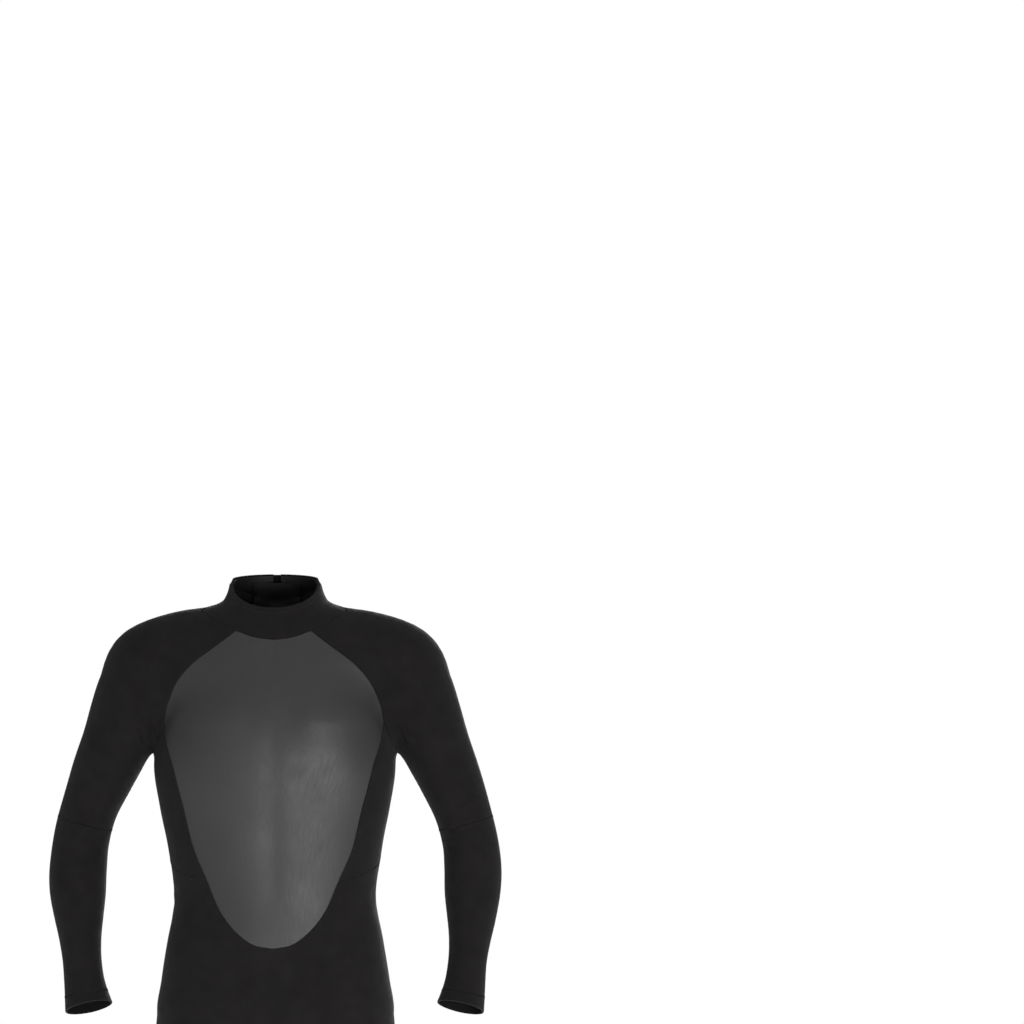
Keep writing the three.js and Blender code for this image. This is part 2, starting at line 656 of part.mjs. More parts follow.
// Columns and rows of one shared grid, so that the facets of the three layers lie over each other.
function closure(firstColumn, lastColumn, firstRow, lastRow) {
  return spread(lastRow, firstRow, lastRow - firstRow).map((row) =>
    spread(firstColumn, lastColumn, lastColumn - firstColumn).map((column) =>
      collarPoint(TAB_ROOT - column * CLOSURE_STEP, CLOSURE_LOW + row * CLOSURE_RISE)));
}

suit.add(sheet('collar_tab', closure(0, 14, 0, 7), jersey(), TAB, tabLift));
suit.add(sheet('collar_hook_pad', closure(6, 13, 1, 6), tapeCloth(), PAD, hookLift));
suit.add(sheet('collar_loop_pad', closure(6, 15, 1, 6), tapeCloth(), PAD, loopLift));

// ---- Zip -----------------------------------------------------------------------------------
// Zip pieces are drawn in a group whose Y runs down the zip and whose Z points out of the back,
// with Z = 0 on the outer face of the back panels.
const zip = new THREE.Group();
zip.position.set(0, zipY(ZIP_TOP_Z), ZIP_TOP_Z);
zip.rotation.set(-Math.PI / 2 + zipLean, 0, 0);
suit.add(zip);

const TAPE_BOTTOM = -(PANEL + TAPE) / 2;
const TAPE_TOP = TAPE_BOTTOM + TAPE;
const TEETH_BOTTOM = -(PANEL + TOOTH_THICK) / 2;
const TEETH_TOP = TEETH_BOTTOM + TOOTH_THICK;
const TAPE_EDGE = TOOTH_REACH + LAYER_GAP;
const SLIDER_Y = 14; // middle of the closed slider, below the top of the zip
const CHAIN_TOP = SLIDER_Y + SLIDER_LENGTH / 4;
const STOP_LENGTH = 4;
const TOP_STOP_WIDTH = 3;
const TOP_STOP_RISE = 2;
const FOOT_MARGIN = 12; // bare tape below the chain
const CHAIN_TEETH = Math.floor((ZIP_LENGTH - FOOT_MARGIN - CHAIN_TOP) / TOOTH_PITCH);
const CHAIN_FOOT = CHAIN_TOP + CHAIN_TEETH * TOOTH_PITCH;

function extruded(points, bottom, top) {
  const shape = new THREE.Shape(points.map(([x, y]) => new THREE.Vector2(x, y)));
  const geometry = new THREE.ExtrudeGeometry(shape, { depth: top - bottom, bevelEnabled: false });
  return geometry.translate(0, 0, bottom);
}

const box = (x0, y0, x1, y1) => [[x0, y0], [x1, y0], [x1, y1], [x0, y1]];
const block = (x0, y0, x1, y1, bottom, top) => extruded(box(x0, y0, x1, y1), bottom, top);

function solidOf(geometry) {
  geometry.deleteAttribute('normal');
  geometry.deleteAttribute('uv');
  const merged = mergeVertices(geometry, 1e-4);
  return new wasm.Manifold(new wasm.Mesh({
    numProp: 3,
    vertProperties: merged.attributes.position.array,
    triVerts: Uint32Array.from(merged.index.array),
  }));
}

function geometryOf(solid) {
  const { vertProperties, triVerts } = solid.getMesh();
  const geometry = new THREE.BufferGeometry();
  geometry.setAttribute('position', new THREE.BufferAttribute(vertProperties, 3));
  return geometry.setIndex(new THREE.BufferAttribute(triVerts, 1));
}

const union = (...parts) => geometryOf(parts.map(solidOf).reduce((all, part) => all.add(part)));

// The two toothed edges mesh along the middle with a small clearance.
function toothRow(sign) {
  const amplitude = 1.2;
  const clearance = sign * LAYER_GAP / 2;
  const points = [[sign * TOOTH_REACH, CHAIN_TOP]];
  for (let k = 0; k <= 2 * CHAIN_TEETH; k++) {
    const x = (k % 2 ? 1 : -1) * amplitude + clearance;
    points.push([x, CHAIN_TOP + k * TOOTH_PITCH / 2]);
  }
  points.push([sign * TOOTH_REACH, CHAIN_FOOT]);
  return extruded(points, TEETH_BOTTOM, TEETH_TOP);
}

for (const [side, sign] of sides) {
  zip.add(closedMesh(`zip_tape_${side}`,
    block(sign * TAPE_EDGE, 0, sign * TAPE_HALF_WIDTH, ZIP_LENGTH, TAPE_BOTTOM, TAPE_TOP),
    tapeCloth()));
  zip.add(closedMesh(`zip_teeth_${side}`, toothRow(sign), toothPlastic()));
  zip.add(closedMesh(`zip_top_stop_${side}`,
    block(sign * TAPE_EDGE, 1, sign * (TAPE_EDGE + TOP_STOP_WIDTH), 1 + STOP_LENGTH,
      TAPE_TOP + LAYER_GAP, TAPE_TOP + TOP_STOP_RISE), toothPlastic()));
}
zip.add(closedMesh('zip_bottom_stop',
  block(-TOOTH_REACH, CHAIN_FOOT + LAYER_GAP, TOOTH_REACH, CHAIN_FOOT + STOP_LENGTH,
    TEETH_BOTTOM, TEETH_TOP + 0.5), toothPlastic()));

// Slider: two plates joined by a wedge between the tapes, lips over the teeth, a bail on top.
const SLIDER_CLEARANCE = 0.4;
const plateTop = TEETH_TOP + SLIDER_CLEARANCE + SLIDER_PLATE;
const plateBottom = TEETH_BOTTOM - SLIDER_CLEARANCE - SLIDER_PLATE;
const BAIL_HEIGHT = 3.2;
const BAIL_THICK = 1.4;
const BAIL_HALF_LENGTH = 6.6;
const BAIL_HALF_WIDTH = 1.5;
const PULL_THICK = 2;
const pivotZ = plateTop + BAIL_HEIGHT / 2;
const sliderHead = SLIDER_Y - SLIDER_LENGTH / 2;
const sliderFoot = SLIDER_Y + SLIDER_LENGTH / 2;
const LIP = 1.4;
const LIP_INSET = 0.6;
const ROOTED = 0.5; // how far joined parts of the slider reach into its plates
const SLIDER_TAPER = 1;
const WEDGE_HALF_WIDTH = 1.8;
const WEDGE_TIP = 0.6;
const sliderPlan = [
  [-SLIDER_HALF_WIDTH, sliderHead], [SLIDER_HALF_WIDTH, sliderHead],
  [SLIDER_HALF_WIDTH, SLIDER_Y], [SLIDER_HALF_WIDTH - SLIDER_TAPER, sliderFoot],
  [SLIDER_TAPER - SLIDER_HALF_WIDTH, sliderFoot], [-SLIDER_HALF_WIDTH, SLIDER_Y],
];
const lips = [1, -1].flatMap((sign) => {
  const outer = sign * (SLIDER_HALF_WIDTH - LIP_INSET);
  const inner = outer - sign * LIP;
  return [
    block(inner, sliderHead, outer, SLIDER_Y, TAPE_TOP + LAYER_GAP, plateTop - ROOTED),
    block(inner, sliderHead, outer, SLIDER_Y, plateBottom + ROOTED, TAPE_BOTTOM - LAYER_GAP),
  ];
});
const wedge = extruded([
  [-WEDGE_HALF_WIDTH, sliderHead], [WEDGE_HALF_WIDTH, sliderHead],
  [WEDGE_TIP, CHAIN_TOP - 1], [-WEDGE_TIP, CHAIN_TOP - 1],
], plateBottom + ROOTED, plateTop - ROOTED);
const bailFeet = [-1, 1].map((end) => block(-BAIL_HALF_WIDTH,
  SLIDER_Y + end * BAIL_HALF_LENGTH, BAIL_HALF_WIDTH,
  SLIDER_Y + end * (BAIL_HALF_LENGTH - BAIL_THICK), plateTop - ROOTED,
  plateTop + BAIL_HEIGHT + BAIL_THICK));
const bailBar = block(-BAIL_HALF_WIDTH, SLIDER_Y - BAIL_HALF_LENGTH, BAIL_HALF_WIDTH,
  SLIDER_Y + BAIL_HALF_LENGTH, plateTop + BAIL_HEIGHT, plateTop + BAIL_HEIGHT + BAIL_THICK);
zip.add(closedMesh('zip_slider', union(
  extruded(sliderPlan, plateTop - SLIDER_PLATE, plateTop),
  extruded(sliderPlan, plateBottom, plateBottom + SLIDER_PLATE),
  wedge, ...lips, ...bailFeet, bailBar), metalFinish()));

// Pull tab: its end bar turns under the bail, the bail's leg passes through its eye.
const EYE_HALF_WIDTH = 2.6;
const PULL_NECK = 4.4; // half width beside the eye
const PULL_CORNER = 3;
const eye = box(-EYE_HALF_WIDTH, SLIDER_Y + PULL_THICK / 2,
  EYE_HALF_WIDTH, SLIDER_Y + BAIL_HALF_LENGTH + 2 * PULL_THICK);
const pullHead = SLIDER_Y - PULL_THICK / 2;
const pullFoot = pullHead + PULL_TAB_LENGTH;
const pullHalfOutline = [
  [PULL_NECK, pullHead], [PULL_NECK, sliderFoot + 2], [PULL_TAB_WIDTH / 2, sliderFoot + 12],
  [PULL_TAB_WIDTH / 2, pullFoot - PULL_CORNER], [PULL_TAB_WIDTH / 2 - PULL_CORNER, pullFoot],
];
const pullOutline = [...pullHalfOutline, ...reversed(pullHalfOutline).map(([x, y]) => [-x, y])];
const pullPlan = new THREE.Shape(pullOutline.map(([x, y]) => new THREE.Vector2(x, y)));
pullPlan.holes = [new THREE.Path(eye.map(([x, y]) => new THREE.Vector2(x, y)))];
const pullBody = new THREE.ExtrudeGeometry(pullPlan, { depth: PULL_THICK, bevelEnabled: false });
zip.add(closedMesh('zip_pull_tab', pullBody.translate(0, 0, pivotZ - PULL_THICK / 2), padRubber()));

// The flap behind the zip hangs a little deeper in the middle, clear of the slider.
const FLAP = 2;
const FLAP_HALF_WIDTH = 40;
const FLAP_DROP = 3.2;
const FLAP_DROP_WIDTH = 34; // the drop fades out from the tape's edge to here
const FLAP_TOP_Z = ZIP_TOP_Z - 8;
const FLAP_FOOT_Z = ZIP_TOP_Z - ZIP_LENGTH - 6; // tucked behind the seat panel
const flapGrid = spread(FLAP_TOP_Z, FLAP_FOOT_Z, 6).map((z) =>
  spread(-FLAP_HALF_WIDTH, FLAP_HALF_WIDTH, 8).map((x) => {
    const deeper = FLAP_DROP * (1 - smoothstep(Math.abs(x), TAPE_HALF_WIDTH, FLAP_DROP_WIDTH));
    const p = vec(x, over(Math.max(Math.abs(x), ZIP_EDGE), z, 1).y, z);
    return p.addScaledVector(normalAt(p), -deeper);
  }));
suit.add(sheet('zip_backing_flap', flapGrid, lining(), FLAP, -PANEL - CURVED_GAP - LAYER_GAP));

// Bar tacks lock the front ends of the side panels' lower seams.
const TACK = 0.8;
const TACK_HALF_HEIGHT = 1.2;
const TACK_ENDS = [16, 28]; // mm outwards from the chest panel's low corner

function barTack() {
  return [TACK_HALF_HEIGHT, -TACK_HALF_HEIGHT].map((rise) => spread(0, 1, 2).map((t) => {
    const x = chestLow.x + lerp(...TACK_ENDS, t);
    const z = lerp(chestLow.z, sideSeamFront[1].z, t / 2);
    return over(x, z + rise, -1);
  }));
}

for (const [side, sign] of sides) {
  suit.add(sheet(`bar_tack_${side}`, onSide(barTack(), sign), tapeCloth(), TACK, TACK + CURVED_GAP));
}

export default suit;
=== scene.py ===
"""A full-length back-zip wetsuit in its worn shape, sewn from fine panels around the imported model.

The suit's surface comes from the same sizes and formulas as the CAD model, in millimetres, with
rows and columns FINE times closer. Only the legs' start and the zip flap's top differ. Blender
objects are made from it in metres.
"""

import math

import bmesh
import bpy
import numpy as np
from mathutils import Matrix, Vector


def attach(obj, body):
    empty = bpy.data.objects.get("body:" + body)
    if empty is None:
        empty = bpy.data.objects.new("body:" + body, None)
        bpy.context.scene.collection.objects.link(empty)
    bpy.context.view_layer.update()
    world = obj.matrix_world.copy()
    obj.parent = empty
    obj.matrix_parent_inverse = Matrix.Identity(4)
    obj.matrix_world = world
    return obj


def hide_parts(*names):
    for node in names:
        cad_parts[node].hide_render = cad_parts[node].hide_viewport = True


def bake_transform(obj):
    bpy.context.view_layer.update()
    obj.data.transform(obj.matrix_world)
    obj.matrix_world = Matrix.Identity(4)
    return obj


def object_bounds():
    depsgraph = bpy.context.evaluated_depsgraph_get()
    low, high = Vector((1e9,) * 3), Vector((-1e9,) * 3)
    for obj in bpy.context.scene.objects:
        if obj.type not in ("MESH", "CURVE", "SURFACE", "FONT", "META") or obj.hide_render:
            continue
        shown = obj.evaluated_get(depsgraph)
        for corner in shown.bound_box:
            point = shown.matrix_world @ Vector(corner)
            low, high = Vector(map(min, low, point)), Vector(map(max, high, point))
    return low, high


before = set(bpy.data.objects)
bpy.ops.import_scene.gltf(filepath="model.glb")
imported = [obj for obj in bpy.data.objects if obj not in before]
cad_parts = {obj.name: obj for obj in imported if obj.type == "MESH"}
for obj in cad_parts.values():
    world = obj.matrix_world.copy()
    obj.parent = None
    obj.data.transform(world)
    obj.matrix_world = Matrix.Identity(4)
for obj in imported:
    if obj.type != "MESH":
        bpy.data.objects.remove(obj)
cad_low, cad_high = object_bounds()

# ---- Sizes, as in the CAD model, in millimetres ----
MM = 0.001
FINE = 8
PANEL = 3.0
LINING = 1.5
LAYER_GAP = 0.3
CURVED_GAP = 1.4

NECK_RADIUS = 61
NECK_CENTRE_Y = 8
COLLAR_TOP_SIDE = 42
COLLAR_FRONT_DIP = 43
COLLAR_BACK_RISE = 5

CROTCH_Z = -676
THIGH_END = -950
KNEE_END = -1075
ANKLE_Z = -1400
HEM = 20
SLEEVE_SEAM_Z = -268
ELBOW_SEAM_Z = -326
CUFF_Z = -600

ZIP_LENGTH = 430
ZIP_TOP_Z = -6
TAPE_HALF_WIDTH = 16
TAPE = 1.2
TOOTH_PITCH = 6
TOOTH_REACH = 4.2
TOOTH_THICK = 3.2
SLIDER_LENGTH = 16
SLIDER_Y = 14

KNEE_PAD = 2.5
KNEE_PAD_REACH = 50
KNEE_PAD_TOP = -955
KNEE_PAD_BOTTOM = -1070

NECK_BLEND = 46
SHOULDER_BLEND = 60
UNDERARM_BLEND = 18
CROTCH_BLEND = 26
TRUNK_SQUARENESS = 2.35
TRUNK_HEAD = 8
TRUNK_FOOT = -664
NECK_FOOT = -50
NECK_ABOVE = -120
ARMS_ABOVE = -660
LEGS_BELOW = -540
LEGS_WHOLE = CROTCH_Z + 30
BLEND_HEIGHTS = (-225, -110)


def profile(knots):
    """A smooth value over height through [height, value] knots, highest first."""
    heights, values = np.array(knots, float).T
    last = len(heights) - 1
    before = np.maximum(np.arange(last + 1) - 1, 0)
    after = np.minimum(np.arange(last + 1) + 1, last)
    slopes = (values[after] - values[before]) / (heights[after] - heights[before])

    def at(z):
        z = np.clip(z, heights[-1], heights[0])
        i = np.clip(np.searchsorted(-heights, -z, side="right") - 1, 0, last - 1)
        h = heights[i + 1] - heights[i]
        t = (z - heights[i]) / h
        t2, t3 = t * t, t * t * t
        return (
            (2 * t3 - 3 * t2 + 1) * values[i]
            + (t3 - 2 * t2 + t) * h * slopes[i]
            + (3 * t2 - 2 * t3) * values[i + 1]
            + (t3 - t2) * h * slopes[i + 1]
        )

    return at


def centre_line(points, steps=6):
    """A smooth chain of [x, y, z, radius] through the given points."""
    points = np.array(points, float)
    last = len(points) - 1
    chain = []
    for k in range(last):
        a, b, d, e = (points[min(max(i, 0), last)] for i in (k - 1, k, k + 1, k + 2))
        for t in np.arange(steps) / steps:
            cubic = 2 * a - 5 * b + 4 * d - e + t * (3 * (b - d) + e - a)
            chain.append(b + 0.5 * t * (d - a + t * cubic))
    chain.append(points[-1])
    return np.array(chain)


TRUNK_HALF_WIDTH = profile([
    [8, 46], [-12, 80], [-40, 112], [-80, 140], [-130, 158], [-180, 171], [-237, 181],
    [-300, 172], [-363, 160], [-435, 151], [-500, 161], [-560, 171], [-612, 177], [-640, 162],
    [-655, 122], [-668, 70],
])
TRUNK_FRONT = profile([
    [8, -41], [-48, -66], [-85, -88], [-140, -110], [-200, -121], [-260, -121],
    [-340, -111], [-435, -105], [-520, -107], [-600, -104], [-640, -88], [-668, -62],
])
TRUNK_BACK = profile([
    [8, 77], [-30, 83], [-60, 86], [-110, 88.7], [-240, 93], [-450, 100], [-520, 111],
    [-590, 122], [-640, 108], [-668, 76],
])
COLLAR_BASE = profile([
    (180, 0), (150, 3), (120, 5), (90, 1), (75, -7), (60, -17), (45, -29), (33, -37), (18, -45),
    (0, -48.5),
])
ARM = centre_line([
    [60, 2, -64, 58], [123, 4, -67, 62], [188, 6, -86, 60], [208, 6, -124, 58],
    [222, 6, -162, 56], [238, 7, -204, 52.5], [260, 8, -254, 47.5], [280, 9, -306, 42.5],
    [292, 9, -352, 42], [296, 7, -392, 43], [296, 2, -427, 42], [294.5, -4, -462, 37],
    [292, -9, -494, 32], [288.5, -14, -530, 29], [284.5, -19, -566, 30.5],
    [277.5, -25, -602, 36], [268, -31, -640, 43],
])
LEG = centre_line([
    [88, 12, -560, 76], [91, 12, -620, 85], [95, 10, -690, 87], [98, 5, -780, 82],
    [102, 0, -880, 72], [105, -2, -980, 62], [107, 0, -1040, 59], [110, 10, -1130, 60],
    [113, 11, -1220, 53], [116, 6, -1310, 42], [118, 3, -1370, 38], [119, 2, -1430, 38],
])
ARM_DEPTH = 1.04
LEG_DEPTH = 1.12


# ---- The suit's surface ----
def smoothstep(x, low, high):
    t = np.clip((x - low) / (high - low), 0, 1)
    return t * t * (3 - 2 * t)


def unit(v):
    return v / np.maximum(np.linalg.norm(v, axis=-1, keepdims=True), 1e-9)


def smooth_min(a, b, width):
    h = np.maximum(width - np.abs(a - b), 0) / width
    return np.minimum(a, b) - h * h * width / 4


def trunk(x, y, z):
    front, back = TRUNK_FRONT(z), TRUNK_BACK(z)
    dy = y - (front + back) / 2
    a = x / TRUNK_HALF_WIDTH(z)
    b = np.abs(dy) / ((back - front) / 2)
    s = (a**TRUNK_SQUARENESS + b**TRUNK_SQUARENESS) ** (1 / TRUNK_SQUARENESS)
    r = np.hypot(x, dy)
    return np.maximum(np.maximum(r - r / np.maximum(s, 1e-6), z - TRUNK_HEAD), TRUNK_FOOT - z)


def limb(chain, depth, x, y, z):
    nearest = np.full(len(x), np.inf)
    y = y / depth
    for p, q in zip(chain[:-1], chain[1:]):
        e = q - p
        dx, dy, dz = x - p[0], y - p[1], z - p[2]
        squared = e[0] ** 2 + e[1] ** 2 + e[2] ** 2
        t = np.clip((dx * e[0] + dy * e[1] + dz * e[2]) / squared, 0, 1)
        away = np.sqrt((dx - t * e[0]) ** 2 + (dy - t * e[1]) ** 2 + (dz - t * e[2]) ** 2)
        np.minimum(nearest, away - p[3] - t * e[3], out=nearest)
    return nearest


def body(p):
    """Negative inside the filled suit, zero on its outer face."""
    x, y, z = np.abs(p[:, 0]), p[:, 1], p[:, 2]
    f = trunk(x, y, z)
    low, high, top = z < LEGS_BELOW, z > ARMS_ABOVE, z > NECK_ABOVE
    if low.any():
        legs = limb(LEG, LEG_DEPTH, x[low], y[low], z[low])
        # they come in gradually, so the trunk's outline has no step
        there = smoothstep(-z[low], -LEGS_BELOW, -LEGS_WHOLE)
        legs = legs + 3 * CROTCH_BLEND * (1 - there)
        f[low] = smooth_min(f[low], legs, CROTCH_BLEND)
    if high.any():
        rise = smoothstep(z[high], *BLEND_HEIGHTS)
        blend = UNDERARM_BLEND + (SHOULDER_BLEND - UNDERARM_BLEND) * rise
        f[high] = smooth_min(f[high], limb(ARM, ARM_DEPTH, x[high], y[high], z[high]), blend)
    neck = np.hypot(x[top], y[top] - NECK_CENTRE_Y) - NECK_RADIUS
    f[top] = smooth_min(f[top], np.maximum(neck, NECK_FOOT - z[top]), NECK_BLEND)
    return f


def normal(p, step=1.5):
    """Outward unit normals of the surface through points of any array shape."""
    flat = p.reshape(-1, 3)
    slope = np.stack([body(flat + d) - body(flat - d) for d in np.eye(3) * step], axis=1)
    return unit(slope).reshape(p.shape)


def cast(start, way):
    """Where rays that start inside the suit leave it."""
    shape = way.shape
    start = np.broadcast_to(start, shape).reshape(-1, 3)
    way = unit(way.reshape(-1, 3))
    stride = 8.0
    far = np.full(len(way), stride)
    live = np.arange(len(way))
    while len(live):
        live = live[(body(start[live] + far[live, None] * way[live]) < 0) & (far[live] < 400)]
        far[live] += stride
    near = far - stride
    for _ in range(13):
        middle = (near + far) / 2
        inside = body(start + middle[:, None] * way) < 0
        near, far = np.where(inside, middle, near), np.where(inside, far, middle)
    return (start + far[:, None] * way).reshape(shape)


FRONT, BACK = -1, 1


def over(x, z, side):
    """The outermost point of the suit over (x, z), seen from its front or its back."""
    low, high = 0.0, 220.0
    for _ in range(3):
        reach = np.linspace(high, low, 60)
        inside = body(np.column_stack([0 * reach + x, side * reach, 0 * reach + z])) < 0
        first = int(np.argmax(inside))
        low, high = reach[first], reach[first - 1]
    return np.array([x, side * high, z])


def settle(p, rounds=6):
    """Moves points that are near the surface onto it."""
    for _ in range(rounds):
        p = p - normal(p) * body(p.reshape(-1, 3)).reshape(p.shape[:-1])[..., None] * 0.8
    return p


def smooth_curve(points, count):
    """count + 1 evenly spaced points of the centripetal Catmull-Rom curve through others."""
    points = np.array(points, float)
    run = [2 * points[0] - points[1], *points, 2 * points[-1] - points[-2]]
    t = np.arange(40)[:, None] / 40
    fine = []
    for a, b, c, d in zip(run, run[1:], run[2:], run[3:]):
        ab, bc, cd = (np.linalg.norm(q - p) ** 0.5 for p, q in ((a, b), (b, c), (c, d)))
        leave = ((b - a) / ab - (c - a) / (ab + bc) + (c - b) / bc) * bc
        arrive = ((c - b) / bc - (d - b) / (bc + cd) + (d - c) / cd) * bc
        bend = 3 * (c - b) - 2 * leave - arrive
        fine.append(b + leave * t + bend * t**2 + (2 * (b - c) + leave + arrive) * t**3)
    return respaced(np.vstack([*fine, points[-1:]]), count)


def gaps(points, axis=0):
    """Distances between neighbouring points."""
    return np.linalg.norm(np.diff(points, axis=axis), axis=-1)


def respaced(run, count):
    """count + 1 evenly spaced points along a fine polyline."""
    along = np.r_[0, np.cumsum(gaps(run))]
    at = np.linspace(0, along[-1], count + 1)
    return np.column_stack([np.interp(at, along, run[:, k]) for k in range(3)])


def seam(points, count):
    """The seam through the given points, with FINE steps to each of the CAD model's."""
    line = smooth_curve(points, count * FINE)
    line[1:-1] = settle(line[1:-1])
    return line


def spread(start, end, count):
    return np.linspace(start, end, count * FINE + 1)


def mirror(p):
    return p * np.array([-1.0, 1.0, 1.0])


def joined(*runs):
    return np.concatenate([runs[0], *(run[1:] for run in runs[1:])])


# ---- Seam lines, wearer's left side ----
def round_neck(degrees, z):
    """Surface points at angles from the front of the neck and heights."""
    a = np.radians(degrees)
    way = np.stack([np.sin(a), -np.cos(a), 0 * a], axis=-1)
    start = np.stack([0 * a, 0 * a + NECK_CENTRE_Y, z + 0 * a], axis=-1)
    return cast(start, way)


def collar_base(degrees):
    return round_neck(degrees, COLLAR_BASE(np.minimum(np.abs(degrees), 180)))


FRONT_CORNER, BACK_CORNER = 36, 140
CHEST_COLUMNS, SLEEVE_COLUMNS, BACK_COLUMNS = 10, 14, 4
RAGLAN_ROWS, ARMHOLE_ROWS, UNDERARM_ROWS, SIDE_ROWS = 6, 3, 2, 6
neck_front = collar_base(spread(-FRONT_CORNER, FRONT_CORNER, CHEST_COLUMNS))
neck_side = collar_base(spread(FRONT_CORNER, BACK_CORNER, SLEEVE_COLUMNS))


def armpit(y):
    """The lowest point of the fold under the arm."""
    xs = np.linspace(160, 230, 141)
    for z in np.arange(-320, -120, 0.5):
        f = body(np.column_stack([xs, 0 * xs + y, 0 * xs + z]))
        if not (f > 0).any():
            return np.array([widest, y, z])
        widest = xs[np.argmax(f)]


def points_over(side, *spots):
    """Points of the suit's front or back over (x, z) spots."""
    return [over(x, z, side) for x, z in spots]


def in_fold(x, y, z):
    """The point of the surface beside a spot in the armhole's fold."""
    return settle(np.array([[x, y, z]], float))[0]


underarm = armpit(6)
chest_widest, blade_widest = over(164, -172, FRONT), over(158, -166, BACK)
raglan_way = points_over(FRONT, (89, -60), (124, -87), (148, -118), (160, -148))
raglan_front = seam([neck_side[0], *raglan_way, chest_widest], RAGLAN_ROWS)
raglan_way = points_over(BACK, (98, -58), (134, -106))
raglan_back = seam([neck_side[-1], *raglan_way, blade_widest], RAGLAN_ROWS)
armhole_front = seam([chest_widest, in_fold(177, -34, -203), underarm], ARMHOLE_ROWS)
armhole_back = seam([blade_widest, in_fold(175, 46, -200), underarm], ARMHOLE_ROWS)

chest_low = over(97, -408, FRONT)
waist_side = cast(np.array([0.0, 0, -376]), np.array([1.0, 0, 0]))
waist_back = over(96, -362, BACK)
edge_way = points_over(FRONT, (161, -195), (150, -233), (135, -290), (119, -356))
chest_edge = seam([chest_widest, *edge_way, chest_low], SIDE_ROWS)
tip_way = points_over(FRONT, (78, -452), (56, -481), (29, -501), (0, -507))
chest_tip = seam([chest_low, *tip_way], 5)
side_seam_front = seam([chest_low, over(119, -403, FRONT), waist_side], 3)
side_seam_back = seam([waist_side, waist_back], 3)
edge_way = points_over(BACK, (140, -240), (116, -310))
blade_edge = seam([blade_widest, *edge_way, waist_back], SIDE_ROWS)

ZIP_EDGE = TAPE_HALF_WIDTH + 0.72
zip_top, zip_foot = points_over(
    BACK, (ZIP_EDGE, ZIP_TOP_Z - 24), (ZIP_EDGE, ZIP_TOP_Z - ZIP_LENGTH))
zip_slope = (zip_foot[1] - zip_top[1]) / (zip_foot[2] - zip_top[2])
zip_lean = math.atan(-zip_slope)


def zip_y(z):
    return zip_top[1] + zip_slope * (z - zip_top[2])


back_edge = np.linspace(
    [ZIP_EDGE, zip_y(ZIP_TOP_Z), ZIP_TOP_Z],
    [ZIP_EDGE, zip_y(ZIP_TOP_Z - ZIP_LENGTH), ZIP_TOP_Z - ZIP_LENGTH],
    (RAGLAN_ROWS + SIDE_ROWS) * FINE + 1)
neck_back = collar_base(spread(BACK_CORNER, 166, BACK_COLUMNS))
neck_back[-1] = back_edge[0]
lumbar_z = waist_back[2] + (back_edge[-1][2] - waist_back[2]) * 2 / 3
lumbar_seam = seam([waist_back, over(56, lumbar_z, BACK), back_edge[-1]], BACK_COLUMNS)


def on_chain(chain, z):
    """The centre line's point at a height, and its direction there."""
    heights = -chain[:, 2]
    first = int(np.argmin(chain[:, 2] > chain[0, 2] - 1e-9))

    def at(h):
        return np.array([np.interp(-h, heights[first:], chain[first:, k]) for k in range(3)])

    return at(z), unit(at(z - 20) - at(z + 20))


def arm_rings(heights):
    """Rings across the arm that start under it and go round by the front."""
    rings = []
    a = np.radians(spread(0, 360, SLEEVE_COLUMNS))[:, None]
    for z in heights:
        centre, along = on_chain(ARM, z)
        inward = unit(np.array([-1.0, 0, 0]) + along * along[0])
        forward = unit(np.array([0, -1.0, 0]) + along * along[1])
        way = inward * np.cos(a) + forward * np.sin(a)
        rings.append((np.broadcast_to(centre, way.shape), way))
    start, way = (np.array(part) for part in zip(*rings))
    return cast(start, way)


LEG_COLUMNS, GROIN_COLUMNS = 18, 7


def leg_rings(heights):
    """Level rings that start at the outer side and go round by the front."""
    a = np.radians(spread(0, 360, LEG_COLUMNS))
    way = np.stack([np.cos(a), -np.sin(a), 0 * a], axis=-1)
    centres = np.array([on_chain(LEG, z)[0] for z in heights])
    return cast(centres[:, None, :], np.broadcast_to(way, (len(centres), *way.shape)).copy())


def between(top, foot, left, right):
    """Values inside four edges, blended from the edges and less the corners."""
    v = np.linspace(0, 1, len(left))[:, None, None]
    u = np.linspace(0, 1, len(top))[None, :, None]
    inside = top * (1 - v) + foot * v + left[:, None] * (1 - u) + right[:, None] * u
    inside = inside - top[0] * (1 - u) * (1 - v) - top[-1] * u * (1 - v)
    return inside - foot[0] * (1 - u) * v - foot[-1] * u * v


def patch(top, foot, left, right, centre):
    """Surface points between four edges, by rays from a moving centre."""
    middles = np.array([centre(t) for t in np.linspace(0, 1, len(left))])
    ways = between(unit(top - middles[0]), unit(foot - middles[-1]),
                   unit(left - middles), unit(right - middles))
    grid = cast(middles[:, None, :], ways)
    grid[:, 0], grid[:, -1], grid[0], grid[-1] = left, right, top, foot
    return mended(grid, between(top, foot, left, right))


def mended(grid, guess, furthest=70):
    """Beside an underarm a ray can slip through to the far side: those points are relaxed between
    their neighbours instead and settled onto the surface."""
    lost = np.linalg.norm(grid - guess, axis=-1) > furthest
    near = lost.copy()
    for axis in (0, 1):
        for step in (-2, -1, 1, 2):
            near |= np.roll(lost, step, axis)
    near[0] = near[-1] = near[:, 0] = near[:, -1] = False
    if not lost.any():
        return grid
    grid[near] = guess[near]
    row, column = np.nonzero(near)
    for _ in range(400):
        around = grid[row - 1, column] + grid[row + 1, column]
        around = around + grid[row, column - 1] + grid[row, column + 1]
        grid[row, column] = around / 4
    grid[row, column] = settle(grid[row, column])
    return grid


